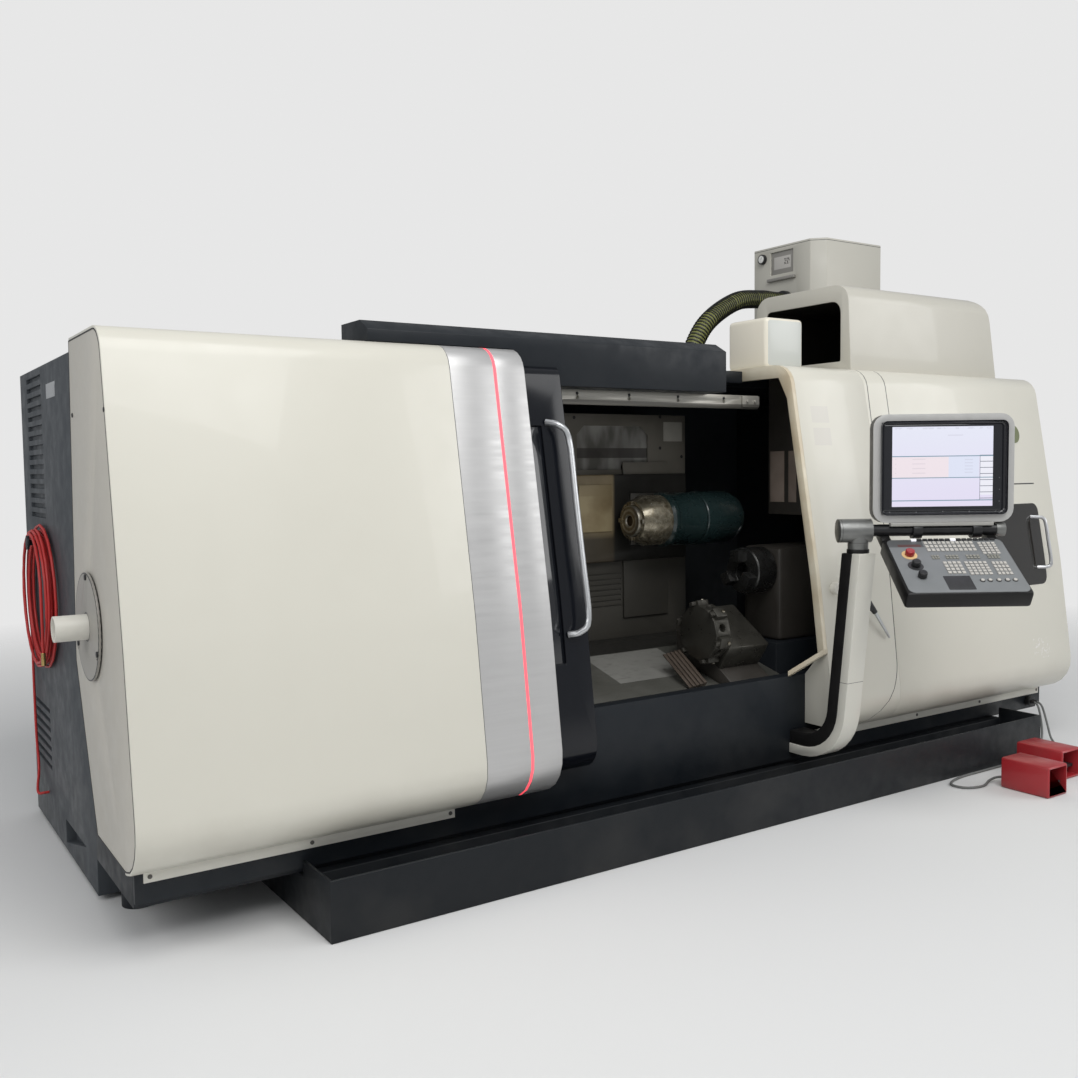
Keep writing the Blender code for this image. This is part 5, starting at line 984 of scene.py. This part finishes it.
rim_silver = Finish("rim_silver", (0.52, 0.515, 0.50), 0.36, 0.3)
_, off, z = rim_silver.seen_from(panel)
back = (off > -0.0195).most(z < 0.0335)
tone = rim_silver.shade(0.05, rim_silver.noise(30.0))
rim_silver.feed("Base Color", rim_silver.mix(back, tone, (0.016, 0.016, 0.017)))
rim_silver.feed("Metallic", 0.3 - 0.3 * back)
rim_silver.vary(0.3, 0.42, 30.0)
dress("monitor", rim_silver, edge=0.004, segments=3)
glass_black = Finish("glass_black", (0.010, 0.0105, 0.014), 0.12, coat=0.4)
along, _, z = glass_black.seen_from(panel)
foot_marks = z.near(0.082, 0.0025) * ((along - 0.012) % 0.118 < 0.004)
side_marks = along.near(0.617, 0.002) * ((z - 0.02) % 0.052 < 0.003) * (z < 0.24)
tone = glass_black.shade(0.2, glass_black.noise(4.0))
tone = glass_black.mix(foot_marks + side_marks, tone, (0.16, 0.16, 0.17))
glass_black.feed("Base Color", tone)
glass_black.vary(0.08, 0.18, 5.0)
bezel = slab("monitor_bezel", (0.0905, -0.0284, 0.0680), (0.6480, -0.0216, 0.4840), 0.026, 1)
onto(bezel, panel, BODY_OF["monitor"], glass_black)
lit_screen = Finish("lit_screen", (0.05, 0.05, 0.06), 0.12)
screen_left, screen_right, screen_foot, screen_top = 0.1410, 0.5870, 0.1050, 0.4580
along, _, z = lit_screen.seen_from(panel)
u = (along - screen_left) / (screen_right - screen_left)
v = (screen_top - z) / (screen_top - screen_foot)
rules = v.near(0.370, 0.0055) + v.near(0.640, 0.0050) + v.near(0.925, 0.0060)
pink = v.between(0.378, 0.635) * (u < 0.56)
blue = v.between(0.378, 0.635) * u.between(0.56, 0.86)
cell_edge = u.near(0.872, 0.0022) * v.between(0.36, 0.92)
cell_lines = ((v - 0.360) % 0.0768 < 0.0075) * (u > 0.872) * v.between(0.352, 0.905)
cells = (u > 0.875) * v.between(0.37, 0.86)
entries = ((v - 0.40) % 0.058 < 0.012) * v.between(0.39, 0.62)
entries = entries * (u.between(0.20, 0.33) + u.near(0.035, 0.006))
readings = ((v - 0.41) % 0.04 < 0.012) * u.between(0.72, 0.80) * v.between(0.41, 0.60)
header = v.near(0.022, 0.010) * (lit_screen.noise(55.0) > 0.52)
header = header + v.near(0.110, 0.007) * u.between(0.55, 0.70)
tone = lit_screen.mix(v.ramp(0.0, 1.0), (0.80, 0.82, 0.93), (0.78, 0.73, 0.90))
tone = lit_screen.mix(pink, tone, (0.88, 0.78, 0.82))
tone = lit_screen.mix(blue, tone, (0.74, 0.78, 0.92))
tone = lit_screen.mix(cells, tone, (0.86, 0.86, 0.93))
tone = lit_screen.mix((entries + readings + header) * 0.22, tone, (0.35, 0.33, 0.40))
tone = lit_screen.mix(cell_lines + cell_edge, tone, (0.10, 0.11, 0.16))
tone = lit_screen.mix(rules, tone, (0.16, 0.28, 0.36))
lit_screen.feed("Emission Color", tone)
lit_screen.shader.inputs["Emission Strength"].default_value = 0.92
low, high = (screen_left, -0.0290, screen_foot), (screen_right, -0.0282, screen_top)
screen = slab("monitor_screen", low, high, 0.002, 1, 0.0002)
onto(screen, panel, BODY_OF["monitor"], lit_screen)
hinge_grey = Finish("hinge_cover_grey", (0.36, 0.355, 0.33), 0.4)
hinge_grey.mottle(0.08, 20.0)
low, high = (0.135, -0.0400, 0.0180), (0.590, -0.0060, 0.0338)
hinge_cover = slab("hinge_cover", low, high, 0.004, 0, 0.0015)
onto(hinge_cover, panel, BODY_OF["monitor"], hinge_grey)

# Keyboard
# Black moulded tray with a grey enamelled plate let into it, which carries blocks of moulded keys,
# a touch pad, the emergency stop on its yellow ring and two override knobs.
keys_frame = panel @ Matrix.Rotation(math.radians(31.0), 4, "X")
dress("keyboard", cover_black, edge=0.004, segments=3)
keys_body = BODY_OF["keyboard"]
plate_face = -0.0106
plate_finish = Finish("keyboard_plate", (0.205, 0.215, 0.220), 0.40)
along, off = plate_finish.seen_from(keys_frame)[:2]
darker = (along < 0.262) * (off > -0.118)
tone = plate_finish.shade(0.05, plate_finish.noise(20.0))
tone = plate_finish.mix(darker * 0.75, tone, (0.07, 0.072, 0.075))
red_strip = along.between(0.150, 0.250) * off.near(-0.108, 0.009)
plate_finish.feed("Base Color", plate_finish.mix(red_strip * 0.7, tone, (0.12, 0.035, 0.03)))
plate_finish.vary(0.32, 0.46, 20.0)
low, high = (0.1080, -0.4430, -0.0150), (0.6150, -0.0620, -0.0105)
keys_plate = slab("keyboard_plate", low, high, 0.028, 2)
onto(keys_plate, keys_frame, keys_body, plate_finish)
key_beige = Finish("key_beige", (0.53, 0.51, 0.47), 0.5)
key_beige.mottle(0.12, 90.0)
key_dark = Finish("key_dark", (0.030, 0.030, 0.032), 0.45)
key_dark.mottle(0.3, 60.0)
key_lit = Finish("key_lit", (0.80, 0.80, 0.82), 0.4)
key_lit.feed("Emission Color", (0.88, 0.88, 0.95))
key_lit.shader.inputs["Emission Strength"].default_value = 0.6
one_key = block("one_key", (-0.5, -0.5, 0.0), (0.5, 0.5, 1.0), 0.0)


def key_block(name, low, high, columns, rows, fill=0.74, tall=0.0042):
    """Separate keys laid out over an area of the plate."""
    wide, deep = (high[0] - low[0]) / columns, (high[1] - low[1]) / rows
    size = Matrix.Diagonal((wide * fill, deep * fill, tall, 1.0))
    made = []
    for i in range(columns):
        for j in range(rows):
            place = (low[0] + (i + 0.5) * wide, low[1] + (j + 0.5) * deep, plate_face)
            made.append(copied(one_key, "key", Matrix.Translation(place) @ size))
    return joined(name, made)


def key_row(name, left, right, columns, fill):
    """Taller keys along the plate's back edge."""
    return key_block(name, (left, -0.0765), (right, -0.0610), columns, 1, fill, 0.0065)


def set_keys(name, blocks, edge, finish):
    """Joins blocks of keys, rounds them and sets them on the plate."""
    keys = round_edges(joined(name, blocks), edge)
    onto(keys, keys_frame, keys_body, finish)


blocks = [
    key_block("keys_letters", (0.265, -0.156), (0.485, -0.077), 11, 3),
    key_block("keys_numbers", (0.500, -0.180), (0.580, -0.087), 4, 5),
    key_block("keys_axes", (0.305, -0.320), (0.385, -0.228), 4, 4),
    key_block("keys_modes", (0.396, -0.329), (0.495, -0.230), 5, 5),
    key_block("keys_spindle", (0.513, -0.331), (0.580, -0.232), 4, 4),
]
set_keys("keys_beige", blocks, 0.0012, key_beige)
blocks = []
small_blocks = ((0.270, 0.305, 3), (0.331, 0.388, 4), (0.419, 0.480, 4), (0.511, 0.566, 4))
for left, right, columns in small_blocks:
    blocks.append(key_block("keys_small", (left, -0.212), (right, -0.182), columns, 2, 0.76))
key_grey = Finish("key_grey", (0.28, 0.275, 0.24), 0.5)
key_grey.mottle(0.15, 60.0)
set_keys("keys_grey", blocks, 0.0010, key_grey)
blocks = [
    key_row("keys_back_row", 0.2418, 0.3906, 6, 0.80),
    key_row("keys_back_row_right", 0.4154, 0.5890, 7, 0.80),
]
set_keys("keys_dark", blocks, 0.0010, key_dark)
blocks = [
    key_row("keys_lit_left", 0.2170, 0.2418, 1, 0.86),
    key_row("keys_lit_middle", 0.3906, 0.4154, 1, 0.86),
]
set_keys("keys_lit", blocks, 0.0010, key_lit)
bpy.data.objects.remove(one_key)


def plate_bar(name, x, y, foot, top, radius, edge, sides, tip=None):
    """A round piece that stands upright on the plate."""
    return round_bar(name, (x, y, foot), (x, y, top), radius, edge, sides, tip)


caps, collars = [], []
for x in (0.434, 0.466, 0.503, 0.5385, 0.5715):
    collars.append(plate_bar("key_collar", x, -0.366, plate_face, -0.0085, 0.0112, 0.0005, 20))
    caps.append(plate_bar("key_cap", x, -0.366, -0.0090, -0.0045, 0.0080, 0.0012, 20))
onto(joined("round_keys", caps), keys_frame, keys_body, key_beige)
pad = slab("touch_pad", (0.277, -0.4275, -0.0110), (0.390, -0.332, -0.0094), 0.004, 2)
skirt = plate_bar("knob_skirt", 0.185, -0.257, -0.0112, -0.0082, 0.034, 0.001, 48, 0.031)
trim = joined("pad_and_collars", [pad, skirt, *collars])
onto(trim, keys_frame, keys_body, key_dark)
stop_yellow = Finish("stop_yellow", (0.78, 0.53, 0.25), 0.4)
stop_yellow.mottle(0.08, 30.0)
stop_ring = plate_bar("stop_ring", 0.181, -0.177, -0.0112, -0.0088, 0.033, 0.0006, 48)
onto(stop_ring, keys_frame, keys_body, stop_yellow)
stop_red = Finish("stop_red", (0.34, 0.012, 0.016), 0.3, coat=0.3)
stop_red.mottle(0.12, 40.0)
dress("emergency_stop", stop_red, edge=0.002, segments=3)
for node in ("feed_knob", "spindle_knob"):
    dress(node, satin_black, edge=0.002, segments=3)

# Foot switches
# Cast guards in red enamel, rubbed low down, over hinged treads with moulded ribs, and the moulded
# gland in the base that their cables leave by.
pedal_red = Finish("pedal_red", (0.36, 0.020, 0.026), 0.38, coat=0.2)
low_down = pedal_red.xyz()[2].ramp(0.0, 0.06, 0.7, 0.1)
rubbed = pedal_red.noise(9.0, 6.0).ramp(0.5, 0.8) * low_down
tone = pedal_red.shade(0.1, pedal_red.noise(5.0))
pedal_red.feed("Base Color", pedal_red.mix(rubbed, tone, (0.12, 0.075, 0.07)))
pedal_red.vary(0.30, 0.48, 18.0)
for node in ("pedal_guard_left", "pedal_guard_right"):
    dress(node, pedal_red, edge=0.002, segments=3)
tread = Finish("tread_grey", (0.045, 0.045, 0.046), 0.55)
rib_step, groove_wide = 0.012, 0.004
groove = (tread.xyz()[1] % rib_step) < groove_wide
# The grooves between the ribs are painted near black, as painted shade.
tread.feed("Base Color", tread.mix(groove, (0.055, 0.055, 0.056), (0.015, 0.015, 0.015)))
tread.bump(groove * -1.0, 0.5, 0.001)
for node in ("pedal_left", "pedal_right"):
    dress(node, tread, edge=0.001)
dress("cable_gland", satin_black, edge=0.002)

# Cover fittings
# Tinted window behind the service cover's grip and a moulded disc, both pressed on the cover's
# curve, the white turned knob of the swarf flap and the coolant gun in its clip.
def pressed(piece, thickness):
    """Lays a flat sheet on the service cover's curve and gives it a thickness."""
    pick(piece)
    wrap = piece.modifiers.new("wrap", "SHRINKWRAP")
    wrap.wrap_method = "PROJECT"
    wrap.use_project_y = True
    wrap.target = bpy.data.objects["service_cover_shown"]
    bpy.ops.object.modifier_apply(modifier="wrap")
    thick = piece.modifiers.new("thick", "SOLIDIFY")
    thick.thickness = thickness
    thick.offset = 0.0
    bpy.ops.object.modifier_apply(modifier="thick")


upright = (math.pi / 2, 0.0, 0.0)
before_cover = -1.3
window_wide, window_tall, window_z, strips = 0.427, 0.450, 1.130, 14
deselect()
bpy.ops.mesh.primitive_plane_add(
    size=1.0, location=(2.1985, before_cover, window_z), rotation=upright
)
service_window = bpy.context.object
service_window.name = "service_window"
service_window.scale = (window_wide, window_tall, 1.0)
bpy.ops.object.transform_apply(location=True, rotation=True, scale=True)
bpy.ops.object.mode_set(mode="EDIT")
bpy.ops.mesh.select_all(action="SELECT")
bpy.ops.mesh.bevel(offset=0.045, segments=8, affect="VERTICES")
for k in range(1, strips):
    cut_z = window_z + window_tall * (k / strips - 0.5)
    bpy.ops.mesh.select_all(action="SELECT")
    bpy.ops.mesh.bisect(plane_co=(0.0, 0.0, cut_z), plane_no=(0.0, 0.0, 1.0))
bpy.ops.object.mode_set(mode="OBJECT")
smoked = Finish("smoked_window", (0.016, 0.014, 0.012), 0.08, coat=0.6)
smoked.mottle(0.4, 2.0, 3.0)
smoked.vary(0.05, 0.12, 4.0)
pressed(service_window, 0.004)
settle(service_window, BODY_OF["service_cover"], smoked)
deselect()
bpy.ops.mesh.primitive_circle_add(
    vertices=48,
    radius=0.050,
    fill_type="TRIFAN",
    location=(2.290, before_cover, 1.745),
    rotation=upright,
)
disc = bpy.context.object
disc.name = "service_disc"
bpy.ops.object.transform_apply(location=True, rotation=True, scale=True)
disc_olive = Finish("disc_olive", (0.13, 0.15, 0.065), 0.45)
disc_olive.mottle(0.15, 20.0)
pressed(disc, 0.006)
settle(disc, BODY_OF["service_cover"], disc_olive)
knob_root, knob_end = (knob_x, knob_y + 0.003, knob_z), (knob_x, knob_y - 0.034, knob_z)
knob = round_bar("flap_knob", knob_root, knob_end, 0.029, 0.007, 40)
settle(knob, "machine", white)
grip_top, grip_foot = (0.858, gun_y - 0.030, 0.922), (0.898, gun_y - 0.040, 0.868)
handle = round_bar("gun_handle", grip_top, grip_foot, 0.016, 0.003, 20, 0.013)
clip = block("gun_clip", (0.862, gun_y - 0.026, 0.876), (0.884, gun_y + 0.003, 0.896), 0.002)
trigger = block("gun_trigger", (0.852, gun_y - 0.052, 0.880), (0.862, gun_y - 0.044, 0.912), 0.002)
settle(joined("coolant_gun", [handle, clip, trigger]), "machine", satin_black)
tube_root, tube_tip = (0.896, gun_y - 0.040, 0.871), (tip_x, tip_y - 0.014, tip_z)
nozzle = round_bar("gun_tube", tube_root, tube_tip, 0.0090, 0.001, 16, 0.0065)
settle(nozzle, "machine", grip_silver)

# Left end's small parts
# Black rubber gasket pressed in between the end plate and the cover, black screws in the bar tube's
# flange and in the plate, and a bare aluminium plate riveted to the cabinet.
def resized(name, growth, along):
    """A copy of the end plate, grown about its middle, and thicker along the machine."""
    middle = Vector((-2.562, -0.55, 1.15))
    size = Matrix.Diagonal((along, growth, growth, 1.0))
    place = Matrix.Translation(middle) @ size @ Matrix.Translation(-middle)
    return copied(bpy.data.objects["left_end_plate_shown"], name, place)


gasket = resized("end_gasket", 1.0050, 1.18)
core = resized("gasket_core", 0.9990, 4.0)
pick(gasket)
bore = gasket.modifiers.new("bore", "BOOLEAN")
bore.operation = "DIFFERENCE"
bore.object = core
bpy.ops.object.modifier_apply(modifier="bore")
bpy.data.objects.remove(core)
settle(gasket, "machine", relief_black)
screws = []
for y, z in ((-0.4355, 1.229), (-0.272, 0.980), (-0.585, 0.980)):
    screws.append(round_bar("flange_screw", (-2.5802, y, z), (-2.5868, y, z), 0.0105, 0.002, 20))
for y, z in ((-0.760, 1.790), (-0.246, 1.796)):
    screws.append(round_bar("plate_screw", (-2.5660, y, z), (-2.5712, y, z), 0.0085, 0.002, 20))
settle(joined("end_screws", screws), "machine", satin_black)
bare_plate = block("cabinet_plate", (-2.5418, 0.240, 1.895), (-2.5398, 0.430, 1.955), 0.0006)
settle(bare_plate, "machine", grip_silver)
